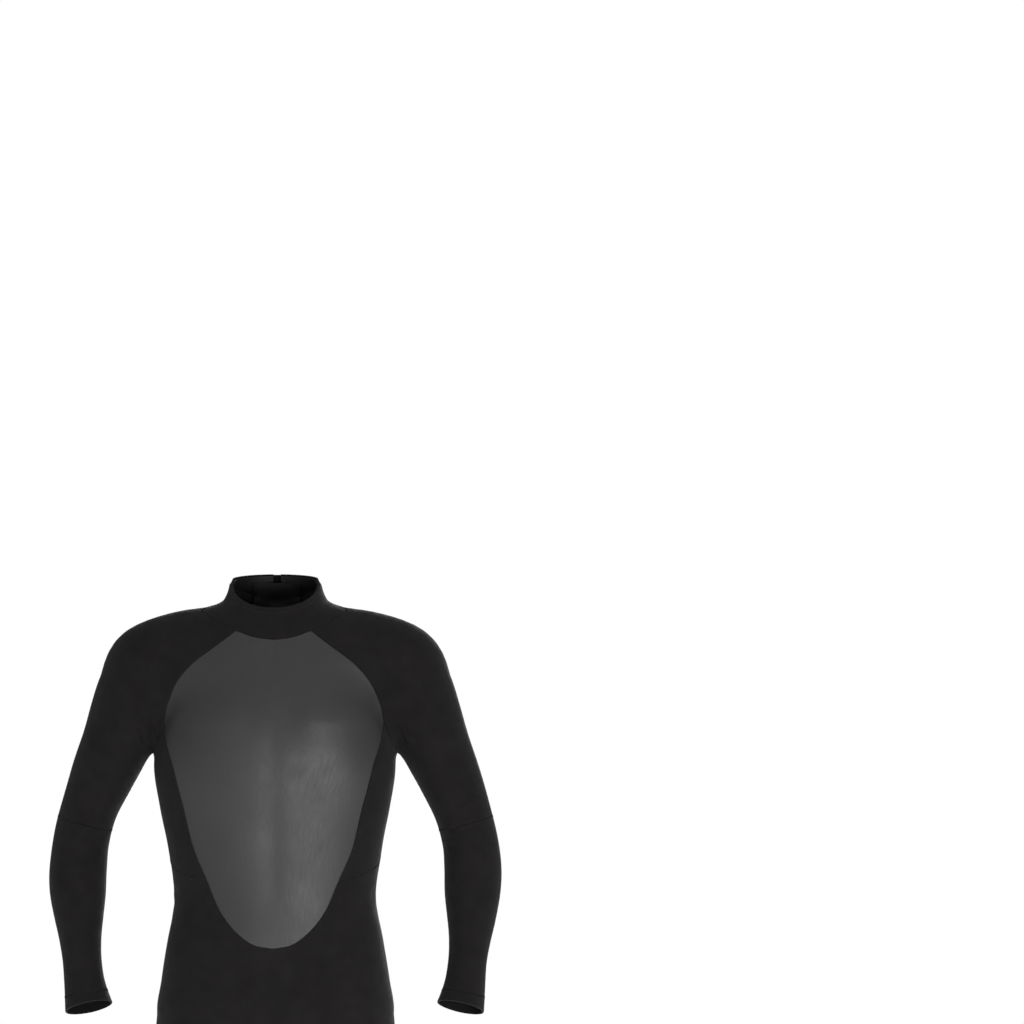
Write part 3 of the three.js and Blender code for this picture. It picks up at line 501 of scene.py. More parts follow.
# ---- Relief: how the cloth stands off the smooth body ----
# Creases: middle, direction, half length, width, depth.
ARM_CREASES = [
    ((192, -34, -196), (0.42, -0.15, -0.9), 30, 3.6, 4.0),
    ((183, -38, -198), (0.3, -0.1, -0.95), 26, 3.2, 3.2),
    ((203, -38, -186), (0.55, -0.2, -0.8), 24, 3.4, 2.8),
    ((178, 45, -200), (0.3, 0.3, -0.9), 24, 5.0, 2.0),
    ((192, 44, -196), (0.5, 0.2, -0.85), 24, 5.0, 1.6),
    ((262, -28, -334), (0.9, 0.1, 0.42), 30, 3.2, 1.3),
    ((284, -34, -316), (0.95, 0.0, 0.3), 22, 3.2, 0.9),
    ((262, -26, -362), (0.9, 0.1, 0.3), 24, 4.5, 0.8),
    ((268, -34, -402), (0.95, 0.0, 0.1), 22, 5.5, 0.8),
    ((266, -28, -428), (0.95, 0.0, -0.2), 22, 5.5, 0.7),
    ((276, -40, -560), (0.9, 0.1, 0.25), 20, 6.0, 0.6),
    ((-187, -36, -188), (0.16, -0.1, 0.98), 30, 3.6, 3.8),
    ((-178, -38, -196), (0.3, -0.1, 0.95), 22, 3.2, 2.6),
    ((-198, -38, -192), (-0.3, -0.2, 0.9), 26, 3.4, 2.8),
    ((-178, 45, -200), (-0.3, 0.3, -0.9), 24, 5.0, 2.0),
    ((-193, 44, -192), (-0.55, 0.2, -0.8), 22, 5.0, 1.5),
    ((-262, -28, -332), (-0.9, 0.1, 0.32), 30, 3.2, 1.2),
    ((-290, -34, -322), (-0.95, 0.0, 0.2), 20, 3.2, 0.8),
    ((-262, -26, -368), (-0.9, 0.1, 0.2), 24, 4.5, 0.8),
    ((-268, -34, -410), (-0.95, 0.0, 0.05), 22, 5.5, 0.7),
    ((-277, -40, -566), (-0.9, 0.1, 0.2), 20, 6.0, 0.6),
]
LEG_CREASES = [
    ((70, -84, -690), (0.85, 0.0, 0.5), 34, 7, 1.5),
    ((60, -80, -712), (0.9, 0.1, 0.4), 30, 7, 1.2),
    ((120, 80, -690), (0.9, 0.0, -0.2), 44, 7, 1.5),
    ((106, 66, -1004), (1.0, 0.0, 0.12), 42, 6, 2.0),
    ((106, 66, -1020), (1.0, 0.0, -0.05), 44, 6, 2.2),
    ((108, 68, -1038), (1.0, 0.0, -0.15), 40, 6, 1.8),
    ((116, -36, -1362), (0.95, 0.0, 0.2), 30, 6, 0.8),
    ((116, -36, -1345), (0.95, 0.0, -0.2), 26, 6, 0.6),
]
WAIST_CREASES = [
    ((146, -30, -430), (0.3, -0.8, -0.35), 40, 7, 1.1),
    ((148, -20, -452), (0.3, -0.8, -0.1), 36, 7, 0.8),
    ((-146, -30, -426), (-0.3, -0.8, -0.4), 40, 7, 1.0),
    ((-148, -20, -448), (-0.3, -0.8, -0.15), 36, 7, 0.8),
    ((70, 100, -448), (0.9, -0.2, -0.35), 44, 9, 1.1),
    ((-70, 100, -452), (-0.9, -0.2, -0.3), 44, 9, 1.1),
]
OTHER_LEG = [(mirror(middle), mirror(way), *rest) for middle, way, *rest in LEG_CREASES]
CREASES = [
    (np.array(middle, float), np.array(way, float) / np.linalg.norm(way), *rest)
    for middle, way, *rest in ARM_CREASES + LEG_CREASES + OTHER_LEG + WAIST_CREASES
]


CHEST_RIDGES = ((1, 4.2), (-1, 1.8))  # under the chest muscles: side and height
RIDGE_X, RIDGE_Z = 88, -172


def relief(p):
    """How far the cloth stands out of the smooth surface, in millimetres."""
    x, y, z = p[..., 0], p[..., 1], p[..., 2]
    out = 0.35 * np.sin(x / 23 + 1.3) * np.sin(z / 31 + y / 40) + 0.25 * np.sin(z / 17 + x / 29)
    for middle, way, half, width, depth in CREASES:
        q = p - middle
        along = q @ way
        away = np.sqrt(np.maximum((q * q).sum(-1) - along**2, 0))
        near = (away < 4 * width) & (np.abs(along) < half)
        fade = np.cos(along / half * math.pi / 2) ** 2
        fold = np.exp(-((away / width) ** 2)) - 0.5 * np.exp(-(((away - 2 * width) / width) ** 2))
        out = out - np.where(near, depth * fade * fold, 0)
    front = smoothstep(-y, 20, 60)
    for side, height in CHEST_RIDGES:
        from_middle = x * side - RIDGE_X
        across = np.exp(-((from_middle / 46) ** 4))
        line = z - RIDGE_Z - 10 * (from_middle / 50) ** 2
        above, below = np.exp(-((line / 52) ** 2)), np.exp(np.minimum(line, 0) / 42)
        out = out + front * height * across * np.where(line > 0, above, below)
    middle_line = np.exp(-((x / 16) ** 2)) * smoothstep(z, -470, -400) * smoothstep(-z, 150, 210)
    return out - front * 1.2 * middle_line


def on_suit(p, lift=0.0):
    """The points on the cloth's outer face, lifted by a distance."""
    return p + normal(p) * (relief(p) + lift)[..., None]


# ---- Materials ----
class Nodes:
    """A material's node tree, with the cloth's own coordinates, in metres along and across it."""

    def __init__(self, name, colour, roughness, **settings):
        self.material = bpy.data.materials.new(name)
        self.material.use_nodes = True
        self.tree = self.material.node_tree
        self.shader = self.tree.nodes["Principled BSDF"]
        self.shader.inputs["Base Color"].default_value = (*colour, 1)
        self.shader.inputs["Roughness"].default_value = roughness
        for key, value in settings.items():
            self.shader.inputs[key.replace("_", " ")].default_value = value
        self.cloth = self.add("ShaderNodeUVMap", uv_map="cloth").outputs[0]
        self.place = self.add("ShaderNodeTexCoord").outputs["Object"]

    def add(self, kind, inputs=(), **settings):
        node = self.tree.nodes.new(kind)
        for key, value in settings.items():
            setattr(node, key, value)
        for key, value in dict(inputs).items():
            if isinstance(value, bpy.types.NodeSocket):
                self.tree.links.new(value, node.inputs[key])
            else:
                node.inputs[key].default_value = value
        return node

    def math(self, operation, a, b=0.0, c=0.0):
        return self.add("ShaderNodeMath", {0: a, 1: b, 2: c}, operation=operation).outputs[0]

    def noise(self, where, size, detail=2.0):
        """Noise between about 0.3 and 0.7 whose lumps are size metres across."""
        inputs = {"Vector": where, "Scale": 1 / size, "Detail": detail}
        return self.add("ShaderNodeTexNoise", inputs).outputs["Fac"]

    def waves(self, where, pitch, direction, distortion=0.0):
        """Ridges pitch metres apart; a wave texture's own period is 2 pi / 20 of its unit."""
        inputs = {"Vector": where, "Scale": math.pi / 10 / pitch, "Distortion": distortion}
        return self.add("ShaderNodeTexWave", inputs, bands_direction=direction).outputs["Fac"]

    def cells(self, where, size, feature="F1"):
        inputs = {"Vector": where, "Scale": 1 / size}
        return self.add("ShaderNodeTexVoronoi", inputs, feature=feature).outputs["Distance"]

    def spread_out(self, value, low, high):
        """Maps noise's middle range to low..high."""
        inputs = {0: value, 1: 0.3, 2: 0.7, 3: low, 4: high}
        return self.add("ShaderNodeMapRange", inputs).outputs[0]

    def mix(self, share, a, b):
        node = self.add("ShaderNodeMix", {"Factor": share}, data_type="RGBA")
        for socket, colour in ((node.inputs[6], a), (node.inputs[7], b)):
            if isinstance(colour, bpy.types.NodeSocket):
                self.tree.links.new(colour, socket)
            else:
                socket.default_value = (*colour, 1)
        return node.outputs[2]

    def drive(self, **sockets):
        for key, value in sockets.items():
            self.tree.links.new(value, self.shader.inputs[key.replace("_", " ")])

    def bump(self, height, distance, strength=1.0):
        inputs = {"Height": height, "Distance": distance, "Strength": strength}
        self.drive(Normal=self.add("ShaderNodeBump", inputs).outputs[0])

    def edge(self):
        """1 at a panel's cut edge, 0 a few millimetres in."""
        return self.add("ShaderNodeAttribute", attribute_name="edge").outputs["Fac"]


def shades(colour, low, high):
    return tuple(c * low for c in colour), tuple(c * high for c in colour)


def knit(name, colour, roughness=0.82, pitch=0.0011, **settings):
    """Jersey laminated on neoprene: rows of small loops, with lint and paler rubbed edges."""
    m = Nodes(name, colour, roughness, **settings)
    wales = m.waves(m.cloth, pitch, "X")
    courses = m.waves(m.cloth, pitch * 0.8, "Y", 0.4)
    loops = m.math("MULTIPLY", wales, m.math("MULTIPLY_ADD", courses, 0.7, 0.3))
    dark, pale = shades(colour, 0.7, 1.35)
    tone = m.math("MULTIPLY_ADD", loops, 0.45, m.spread_out(m.noise(m.place, 0.045, 4), 0.0, 0.5))
    cloth = m.mix(tone, dark, pale)
    rubbed = m.math("MULTIPLY", m.edge(), m.spread_out(m.noise(m.place, 0.006), 0.0, 0.45))
    m.drive(Base_Color=m.mix(rubbed, cloth, shades(colour, 1, 2.1)[1]))
    m.drive(Roughness=m.spread_out(m.noise(m.place, 0.02, 3), roughness - 0.07, roughness + 0.07))
    m.bump(loops, 0.00022)
    return m.material


def smooth_skin(name, colour, roughness=0.5):
    """Bare closed-cell neoprene: satin, with fine pores, faint scuffs and slow changes of tone."""
    m = Nodes(name, colour, roughness, Specular_IOR_Level=0.42)
    slow = m.noise(m.place, 0.09, 3)
    fine = m.noise(m.place, 0.004, 4)
    drawn_out = {"Vector": m.cloth, "Scale": (1.0, 0.16, 1.0)}
    scuff = m.noise(m.add("ShaderNodeMapping", drawn_out).outputs[0], 0.0035, 5)
    dark, pale = shades(colour, 0.86, 1.16)
    tone = m.math("MULTIPLY_ADD", slow, 0.7, m.math("MULTIPLY", fine, 0.3))
    skin = m.mix(tone, dark, pale)
    worn = m.math("MULTIPLY", m.edge(), 0.35)
    m.drive(Base_Color=m.mix(worn, skin, shades(colour, 1, 1.6)[1]))
    rough = m.math("ADD", m.spread_out(slow, roughness - 0.05, roughness + 0.05),
                   m.spread_out(scuff, -0.03, 0.05))
    m.drive(Roughness=rough)
    pores = m.cells(m.cloth, 0.0011)
    m.bump(m.math("ADD", m.math("MULTIPLY", pores, 0.5), fine), 0.00012)
    return m.material


def moulded(name, colour, roughness, grain=0.0008, depth=0.00006, **settings):
    """Moulded rubber, plastic or painted metal: a fine grain and small changes of colour."""
    m = Nodes(name, colour, roughness, **settings)
    dark, pale = shades(colour, 0.8, 1.3)
    m.drive(Base_Color=m.mix(m.spread_out(m.noise(m.place, 0.008, 4), 0, 1), dark, pale))
    worn = m.spread_out(m.noise(m.place, 0.005, 3), roughness - 0.08, roughness + 0.08)
    m.drive(Roughness=worn)
    m.bump(m.noise(m.place, grain, 3), depth)
    return m.material


def woven(name, colour, across=0.0007, along=0.0005, roughness=0.85, depth=0.00012):
    """Narrow woven tape: over-and-under yarns."""
    m = Nodes(name, colour, roughness, Sheen_Weight=0.15, Specular_IOR_Level=0.2)
    warp = m.waves(m.cloth, across, "X")
    weft = m.waves(m.cloth, along, "Y", 0.6)
    yarns = m.math("MAXIMUM", warp, m.math("MULTIPLY", weft, 0.8))
    dark, pale = shades(colour, 0.6, 1.5)
    tone = m.math("MULTIPLY_ADD", m.noise(m.place, 0.012), 0.5, m.math("MULTIPLY", yarns, 0.5))
    m.drive(Base_Color=m.mix(tone, dark, pale))
    m.bump(yarns, depth)
    return m.material


def thread_yarn(name, colour):
    """Sewing thread: fine twisted plies."""
    m = Nodes(name, colour, 0.6, Specular_IOR_Level=0.3)
    twist = m.waves(m.place, 0.0004, "DIAGONAL")
    dark, pale = shades(colour, 0.75, 1.3)
    m.drive(Base_Color=m.mix(twist, dark, pale))
    m.bump(twist, 0.00005)
    return m.material


BLACK = (0.0072, 0.0062, 0.0065)
JERSEY = knit("jersey", BLACK, Specular_IOR_Level=0.13, Sheen_Weight=0.03, Sheen_Roughness=0.5)
INSIDE = knit("inner_jersey", (0.006, 0.0055, 0.006), 0.9, 0.0014, Specular_IOR_Level=0.08)
SKIN = smooth_skin("smooth_skin", (0.0195, 0.0195, 0.0207))
FOAM = moulded("neoprene_foam_edge", (0.012, 0.012, 0.012), 0.9, 0.0005, Specular_IOR_Level=0.15)
NECK_SKIN = smooth_skin("collar_smooth_skin", (0.003, 0.003, 0.003), 0.65)
PAD_RUBBER = moulded("knee_pad_rubber", (0.020, 0.020, 0.022), 0.62, Specular_IOR_Level=0.3)
PULL_RUBBER = moulded("pull_tab_rubber", (0.018, 0.018, 0.020), 0.55, Specular_IOR_Level=0.35)
PLASTIC = moulded("zip_plastic", (0.012, 0.012, 0.013), 0.38, 0.0004, 0.00002)
METAL = moulded("slider_metal", (0.045, 0.045, 0.05), 0.36, 0.0006, 0.00003, Metallic=0.85)
WEBBING = woven("zip_tape_weave", (0.014, 0.014, 0.015))
HOOKS = woven("hook_pad_weave", (0.016, 0.016, 0.017), 0.0012, 0.0012, 0.7, 0.0005)
THREAD = thread_yarn("seam_thread", (0.022, 0.021, 0.022))
SOFT_THREAD = thread_yarn("dark_thread", (0.013, 0.012, 0.013))


# ---- Meshes ----
EDGE_STEPS = np.array([0.12, 0.5, 1.0, 1.7, 2.6])  # rows close to a cut edge, in millimetres
GROOVE_DEPTH = 0.9
GROOVE_WIDTH = 0.85
FAR = 99.0


def close_rows(grid):
    """The grid with more rows near its two ends, and each row's distance to the edge."""

    def near(edge, inner):
        way = inner - edge
        gap = np.linalg.norm(way, axis=-1, keepdims=True)
        reach = np.minimum(1, gap / (EDGE_STEPS[-1] * 1.3))
        return [edge + way / np.maximum(gap, 1e-9) * step * reach for step in EDGE_STEPS]

    first, last = near(grid[0], grid[1]), near(grid[-1], grid[-2])
    rows = np.stack([*first, *grid[1:-1], *last[::-1]])
    distance = np.r_[EDGE_STEPS, np.full(len(grid) - 2, FAR), EDGE_STEPS[::-1]]
    return rows, distance


def bordered(grid, wraps=False):
    """Extra rows and columns at the cut edges, and each point's distance to the nearest edge."""
    grid, down = close_rows(grid)
    if wraps:
        return grid, np.repeat(down[:, None], grid.shape[1], axis=1)
    turned, across = close_rows(grid.transpose(1, 0, 2))
    return turned.transpose(1, 0, 2), np.minimum(down[:, None], across[None, :])


def lengths(grid):
    """The grid's points as lengths across and along the cloth, in metres."""
    u = np.r_[0, np.cumsum(gaps(grid, 1).mean(axis=0))]
    v = np.r_[0, np.cumsum(gaps(grid).mean(axis=1))]
    return np.stack(np.meshgrid(u, v), axis=-1) * MM


def placed(name, data):
    """An object of the scene that shows some data."""
    made = bpy.data.objects.new(name, data)
    bpy.context.scene.collection.objects.link(made)
    return made


def merged(parts):
    """Several parts' points and faces as one."""
    points, faces, base = [], [], 0
    for more, polygons in parts:
        points.append(more)
        faces += [[i + base for i in face] for face in polygons]
        base += len(more)
    return np.concatenate(points), faces


def new_object(name, points, faces, materials, smooth_below=50):
    """A smooth-shaded mesh object from points in millimetres."""
    mesh = bpy.data.meshes.new(name)
    mesh.from_pydata((np.asarray(points, float) * MM).tolist(), [], faces)
    for material in materials:
        mesh.materials.append(material)
    mesh.shade_smooth()
    mesh.set_sharp_from_angle(angle=math.radians(smooth_below))
    return placed(name, mesh)


def cloth_object(name, outer, inner, distance, materials, wraps=False):
    """A closed sheet between two grids of points, with its UV map and its edge attribute."""
    rows, columns = distance.shape
    uv = lengths(outer)
    if wraps:
        columns -= 1
        outer, inner, distance = outer[:, :-1], inner[:, :-1], distance[:, :-1]
    points = np.concatenate([outer.reshape(-1, 3), inner.reshape(-1, 3)])
    index = np.arange(rows * columns).reshape(rows, columns)
    ring = np.concatenate([index, index[:, :1]], axis=1) if wraps else index
    a, b, c, d = ring[:-1, :-1], ring[:-1, 1:], ring[1:, 1:], ring[1:, :-1]
    front = np.stack([a, d, c, b], axis=-1).reshape(-1, 4)
    count = rows * columns
    back = front[:, ::-1] + count
    edges = [ring[0], ring[-1][::-1]] if wraps else [
        ring[0], ring[:, -1], ring[-1][::-1], ring[::-1, 0]]
    walls = np.concatenate([
        np.stack([e[:-1], e[1:], e[1:] + count, e[:-1] + count], axis=-1) for e in edges])
    faces = np.concatenate([front, back, walls])
    if facing_in(points, front, inner.reshape(-1, 3)):
        faces = faces[:, ::-1]
    made = new_object(name, points, faces.tolist(), materials)
    kind = np.repeat([0, 1, 2], [len(front), len(back), len(walls)])
    made.data.polygons.foreach_set("material_index", np.minimum(kind, len(materials) - 1))
    wear = made.data.attributes.new("edge", "FLOAT", "POINT")
    near = np.exp(-((distance / 3.0) ** 2)).ravel()
    wear.data.foreach_set("value", np.r_[near, near].astype(np.float32))
    put_uv(made, uv, rows, columns, faces)
    return made


def facing_in(points, front, inner):
    """Whether the outer faces' winding points towards the inner side."""
    a, b, c = (points[front[:, k]] for k in range(3))
    out = np.cross(b - a, c - a)
    return float((out * (a - inner[front[:, 0]])).sum()) < 0


def put_uv(made, uv, rows, columns, faces):
    layer = made.data.uv_layers.new(name="cloth")
    vertex = np.array(faces).ravel() % (rows * columns)
    row, column = vertex // columns, vertex % columns
    corner = uv[row, column].reshape(-1, 4, 2)
    width = uv[0, -1, 0]
    wrapped = (corner[:, :, 0].max(axis=1) - corner[:, :, 0].min(axis=1)) > width / 2
    low = corner[:, :, 0] < width / 2
    corner[:, :, 0] += np.where(wrapped[:, None] & low, width, 0)
    layer.data.foreach_set("uv", corner.astype(np.float32).ravel())


def declare(grid):
    """Works out what the cloth was cut to: its widest, its longest and its area, unrolled; nothing
    is returned or kept.
    """
    across = gaps(grid, 1).sum(axis=1).max() * MM
    along = gaps(grid).sum(axis=0).max() * MM
    a, b = grid[1:, 1:] - grid[:-1, :-1], grid[1:, :-1] - grid[:-1, 1:]
    area = 0.5 * np.linalg.norm(np.cross(a, b), axis=-1).sum() * MM * MM
    area = min(max(area, 0.3 * across * along), across * along)


def panel(name, grid, materials, thickness=PANEL, lift=0.0, wraps=False, groove=GROOVE_DEPTH):
    """A sewn panel on the suit's surface; its outer edges round down into the seams."""
    points, distance = bordered(grid, wraps)
    out = normal(points)
    base = points + out * (relief(points) + lift)[..., None]
    drop = groove * np.exp(-((distance / GROOVE_WIDTH) ** 2))
    outer = base - out * drop[..., None]
    inner = base - out * thickness
    return cloth_object(name, outer, inner, distance, materials, wraps)


PANEL_CLOTH = (JERSEY, INSIDE, FOAM)
SIDES = {"left": 1, "right": -1}


def finish(piece, slot, *nodes, body=None, grid=None):
    """Puts a piece on the body it rides on and hides the CAD nodes it replaces; slot is not used,
    and the sheet's sizes are worked out but not kept.
    """
    if body:
        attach(piece, body)
    if nodes:
        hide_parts(*nodes)
    if grid is not None:
        declare(grid)


def on_side(grid, sign):
    return grid if sign > 0 else mirror(grid)


def tube(path, out, radius, sides=5):
    """Points and faces of a thin round yarn along a path; out is a normal at each point."""
    ahead = unit(np.gradient(path, axis=0))
    across = unit(np.cross(ahead, out))
    up = np.cross(across, ahead)
    a = np.arange(sides) / sides * 2 * math.pi
    ring = np.cos(a)[None, :, None] * across[:, None] + np.sin(a)[None, :, None] * up[:, None]
    points = (path[:, None] + radius * ring).reshape(-1, 3)
    start = (np.arange(len(path) - 1) * sides)[:, None]
    k = np.arange(sides)
    n = (k + 1) % sides
    faces = np.stack([start + k, start + n, start + sides + n, start + sides + k], -1)
    last = (len(path) - 1) * sides
    return points, [*faces.reshape(-1, 4).tolist(), k[::-1].tolist(), (last + k).tolist()]


def joined_tubes(name, runs, radius, material):
    """One object from several (path, normals) yarns."""
    points, faces = merged(tube(path, out, radius) for path, out in runs)
    return new_object(name, points, faces, [material], 80)


def stitched(line, count):
    """Evenly spaced points of a line, their normals and the way to one side."""
    at = respaced(line, count)
    out = normal(at)
    return at, out, np.cross(out, unit(np.gradient(at, axis=0)))


def zigzag(line, pitch=2.4, half_width=1.5, lift=0.12):
    """A seam's thread: a zigzag over the surface line."""
    count = max(4, int(gaps(line).sum() / pitch) * 2)
    at, out, side = stitched(line, count)
    swing = np.where(np.arange(count + 1) % 2, half_width, -half_width)[:, None]
    return on_suit(settle(at + side * swing, 1), lift), out


def running(line, offset=0.0, pitch=3.2, lift=0.16, level=0.0):
    """A row of straight stitches beside a line: the thread comes up, lies along and dips.

    level is the height of the sewn cloth's face over the suit's own surface.
    """
    rises = np.array([-0.5, 1, 1, 1, -0.5])
    stitches = max(2, int(gaps(line).sum() / pitch))
    at, out, side = stitched(line, stitches * len(rises))
    at = settle(at + side * offset, 1)
    height = level + np.resize(rises, len(at)) * lift
    return at + out * (relief(at) + height)[:, None], out


def sewn(name, lines, body, material=THREAD, radius=0.24, kind=zigzag, slot="jersey", **how):
    """Thread along surface lines, riding on one body."""
    piece = joined_tubes(name, [kind(line, **how) for line in lines], radius, material)
    finish(piece, slot, body=body)
    return piece


# ---- Trunk ----
def upright(low, high):
    return lambda v: np.array([0, 4, low + (high - low) * v], float)


chest_side = joined(raglan_front, chest_edge)
chest_foot = joined(mirror(chest_tip), chest_tip[::-1])
chest_grid = patch(neck_front, chest_foot, mirror(chest_side), chest_side, upright(-90, -400))

leg_top = leg_rings([CROTCH_Z])[0]
GROIN = GROIN_COLUMNS * FINE
groin_front = leg_top[:GROIN + 1]
groin_inner = leg_top[GROIN:-GROIN]
groin_back = leg_top[-GROIN - 1:]
hip_line = np.linspace(waist_side, leg_top[0], 6 * FINE + 1)
hip_way = np.broadcast_to(np.array([1.0, 0, 0]), hip_line.shape).copy()
hip_seam = cast(hip_line * np.array([0.0, 1, 1]), hip_way)
hip_seam[0], hip_seam[-1] = waist_side, leg_top[0]


def across_crotch(corner):
    """From one leg's seam to the other's, under the trunk."""
    centre = np.array([0.0, 12, -610])
    ends = np.linspace(mirror(corner), corner, 2 * FINE + 1)
    line = cast(np.broadcast_to(centre, ends.shape), ends - centre)
    line[0], line[-1] = mirror(corner), corner
    return line


crotch_front, crotch_back = across_crotch(groin_front[-1]), across_crotch(groin_back[0])
abdomen_top = joined(mirror(side_seam_front)[::-1], mirror(chest_tip), chest_tip[::-1],
                     side_seam_front)
abdomen_foot = joined(mirror(groin_front), crotch_front, groin_front[::-1])
abdomen_grid = patch(abdomen_top, abdomen_foot, mirror(hip_seam), hip_seam, upright(-400, -630))
zip_end = np.array([over(x, back_edge[-1][2], BACK) for x in spread(-ZIP_EDGE, ZIP_EDGE, 2)])
seat_top = joined(mirror(side_seam_back), mirror(lumbar_seam), zip_end, lumbar_seam[::-1],
                  side_seam_back[::-1])
seat_foot = joined(mirror(groin_back)[::-1], crotch_back, groin_back)
seat_grid = patch(seat_top, seat_foot, mirror(hip_seam), hip_seam, upright(-400, -630))
gusset_grid = patch(crotch_front, crotch_back, mirror(groin_inner), groin_inner,
                    lambda v: np.array([0, -20 + 60 * v, -600]))

for name, grid, node, cloth in (
    ("chest_skin", chest_grid, "chest_panel", (SKIN, INSIDE, FOAM)),
    ("abdomen", abdomen_grid, "abdomen_panel", PANEL_CLOTH),
    ("seat", seat_grid, "seat_panel", PANEL_CLOTH),
    ("gusset", gusset_grid, "crotch_gusset", PANEL_CLOTH),
):
    slot = "smooth_skin" if cloth[0] is SKIN else "jersey"
    finish(panel(name, grid, cloth), slot, node, body="root", grid=grid)

armhole = joined(armhole_front, armhole_back[::-1])
side_grid = patch(armhole, joined(side_seam_front, side_seam_back), chest_edge, blade_edge,
                  lambda v: np.array([70 - 30 * v, 4, -225 - 145 * v]))
back_grid = patch(neck_back, lumbar_seam, joined(raglan_back, blade_edge), back_edge,
                  lambda v: np.array([10, 0, -60 - 340 * v]))
for side, sign in SIDES.items():
    for name, grid in (("side_panel", side_grid), ("upper_back", back_grid)):
        piece = panel(f"{name}_cloth_{side}", on_side(grid, sign), PANEL_CLOTH)
        finish(piece, "jersey", f"{name}_{side}", body="root", grid=grid)

# ---- Sleeves ----
under_line = seam([underarm, arm_rings([SLEEVE_SEAM_Z])[0, 0]], UNDERARM_ROWS)
SHOULDER_ROWS = RAGLAN_ROWS + ARMHOLE_ROWS + UNDERARM_ROWS
BESIDE_NECK, IN_SHOULDER = np.array([72.0, 5, -62]), np.array([190.0, 5, -98])
ARMHOLE_FOOT_Z = -185


def shoulder_centre(v):
    row = v * SHOULDER_ROWS
    armhole_end = RAGLAN_ROWS + ARMHOLE_ROWS
    if row <= RAGLAN_ROWS:
        return BESIDE_NECK + (IN_SHOULDER - BESIDE_NECK) * row / RAGLAN_ROWS
    rows = (RAGLAN_ROWS, armhole_end, SHOULDER_ROWS)
    z = np.interp(row, rows, (IN_SHOULDER[2], ARMHOLE_FOOT_Z, SLEEVE_SEAM_Z))
    return on_chain(ARM, z)[0]


shoulder = patch(
    neck_side, arm_rings([SLEEVE_SEAM_Z])[0], joined(raglan_front, armhole_front, under_line),
    joined(raglan_back, armhole_back, under_line), shoulder_centre)
below_shoulder = arm_rings(spread(SLEEVE_SEAM_Z, ELBOW_SEAM_Z, 2)[1:])
sleeve_grid = np.concatenate([shoulder, below_shoulder])
forearm_grid = arm_rings(spread(ELBOW_SEAM_Z, CUFF_Z + HEM, 8))
cuff_grid = arm_rings(spread(CUFF_Z + HEM, CUFF_Z, 1))
CUFF_SAG = 0.14  # how much lower the back of the opening hangs, per millimetre of its depth
sag = np.linspace(0, 1, len(cuff_grid))[:, None] ** 1.5
cuff_grid[..., 2] -= sag * CUFF_SAG * (cuff_grid[..., 1] - cuff_grid[..., 1].mean())
ARM_AXIS = on_chain(ARM, -230)[1]


def levels(start, end, sign, x):
    """Two points of a limb, one over the other, in metres."""
    return (sign * x * MM, 0, start * MM), (sign * x * MM, 0, end * MM)


HEM_GROOVE = 0.35


def cloth_piece(name, side, grid, *nodes, body=None, **how):
    """A jersey panel of one side, in place of CAD nodes of that side."""
    piece = panel(f"{name}_{side}", on_side(grid, SIDES[side]), PANEL_CLOTH, **how)
    body = body and f"{body}_{side}"
    finish(piece, "jersey", *(f"{node}_{side}" for node in nodes), body=body, grid=grid)
    return piece


for side, sign in SIDES.items():
    sleeve = cloth_piece("sleeve", side, sleeve_grid, "shoulder_panel", "upper_sleeve")
    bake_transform(sleeve)
    forearm = cloth_piece("forearm", side, forearm_grid, "elbow_panel", "forearm_panel")
    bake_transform(forearm)
    cloth_piece("cuff", side, cuff_grid, "cuff_hem", body="forearm", wraps=True, groove=HEM_GROOVE)

# ---- Legs ----
def inseamed(rings):
    """The rings turned so that their two ends meet along the inner leg."""
    turn = LEG_COLUMNS * FINE // 2
    rolled = np.roll(rings[:, :-1], -turn, axis=1)
    return np.concatenate([rolled, rolled[:, :1]], axis=1)


thigh_grid = inseamed(leg_rings(spread(CROTCH_Z, THIGH_END, 8)))
knee_grid = inseamed(leg_rings(spread(THIGH_END, KNEE_END, 4)))
shin_grid = inseamed(leg_rings(spread(KNEE_END, ANKLE_Z + HEM, 8)))
ankle_grid = inseamed(leg_rings(spread(ANKLE_Z + HEM, ANKLE_Z, 1)))
HIP_X, KNEE_X = 97, 106
PAD_BARS = 7.5


def knee_pad_point(columns, rows):
    """Surface points over the kneecap: columns and rows both run from -1 to 1."""
    t, s = rows[:, None], columns[None, :]
    z = KNEE_PAD_TOP + (KNEE_PAD_BOTTOM - KNEE_PAD_TOP) * (t + 1) / 2
    a = np.radians(s * KNEE_PAD_REACH * np.sqrt(1 - 0.4 * t**4))
    centres = np.array([on_chain(LEG, h)[0] for h in z.ravel()])
    way = np.stack([np.sin(a), -np.cos(a), 0 * a], axis=-1)
    return cast(centres[:, None, :], way), np.broadcast_to(t, a.shape), np.broadcast_to(s, a.shape)


def knee_pad(name, sign):
    """A moulded pad: a bevelled rim round rows of raised bars."""
    grid, t, s = knee_pad_point(np.linspace(-1, 1, 97), np.linspace(-1, 1, 121))
    grid = on_side(grid, sign)
    rim = np.maximum(np.abs(t), np.abs(s))
    out = normal(grid)
    wave = np.cos(t * math.pi * PAD_BARS)
    bars = smoothstep(wave, -0.25, 0.35) * smoothstep(0.86 - np.abs(t), 0, 0.05)
    split = smoothstep(np.abs(np.sin(s * math.pi * 1.5 + 0.35 * wave)), 0.1, 0.3)
    bars = bars * split * smoothstep(0.84 - np.abs(s), 0, 0.06)
    height = KNEE_PAD * (0.45 + 0.35 * smoothstep(1 - rim, 0.0, 0.08)) + 0.9 * bars
    height = height * smoothstep(1.001 - rim, 0, 0.02)
    base = grid + out * (relief(grid) + 0.25)[..., None]
    return cloth_object(
        name, base + out * height[..., None], base - out * 0.1, FAR * (1 - rim), (PAD_RUBBER,))


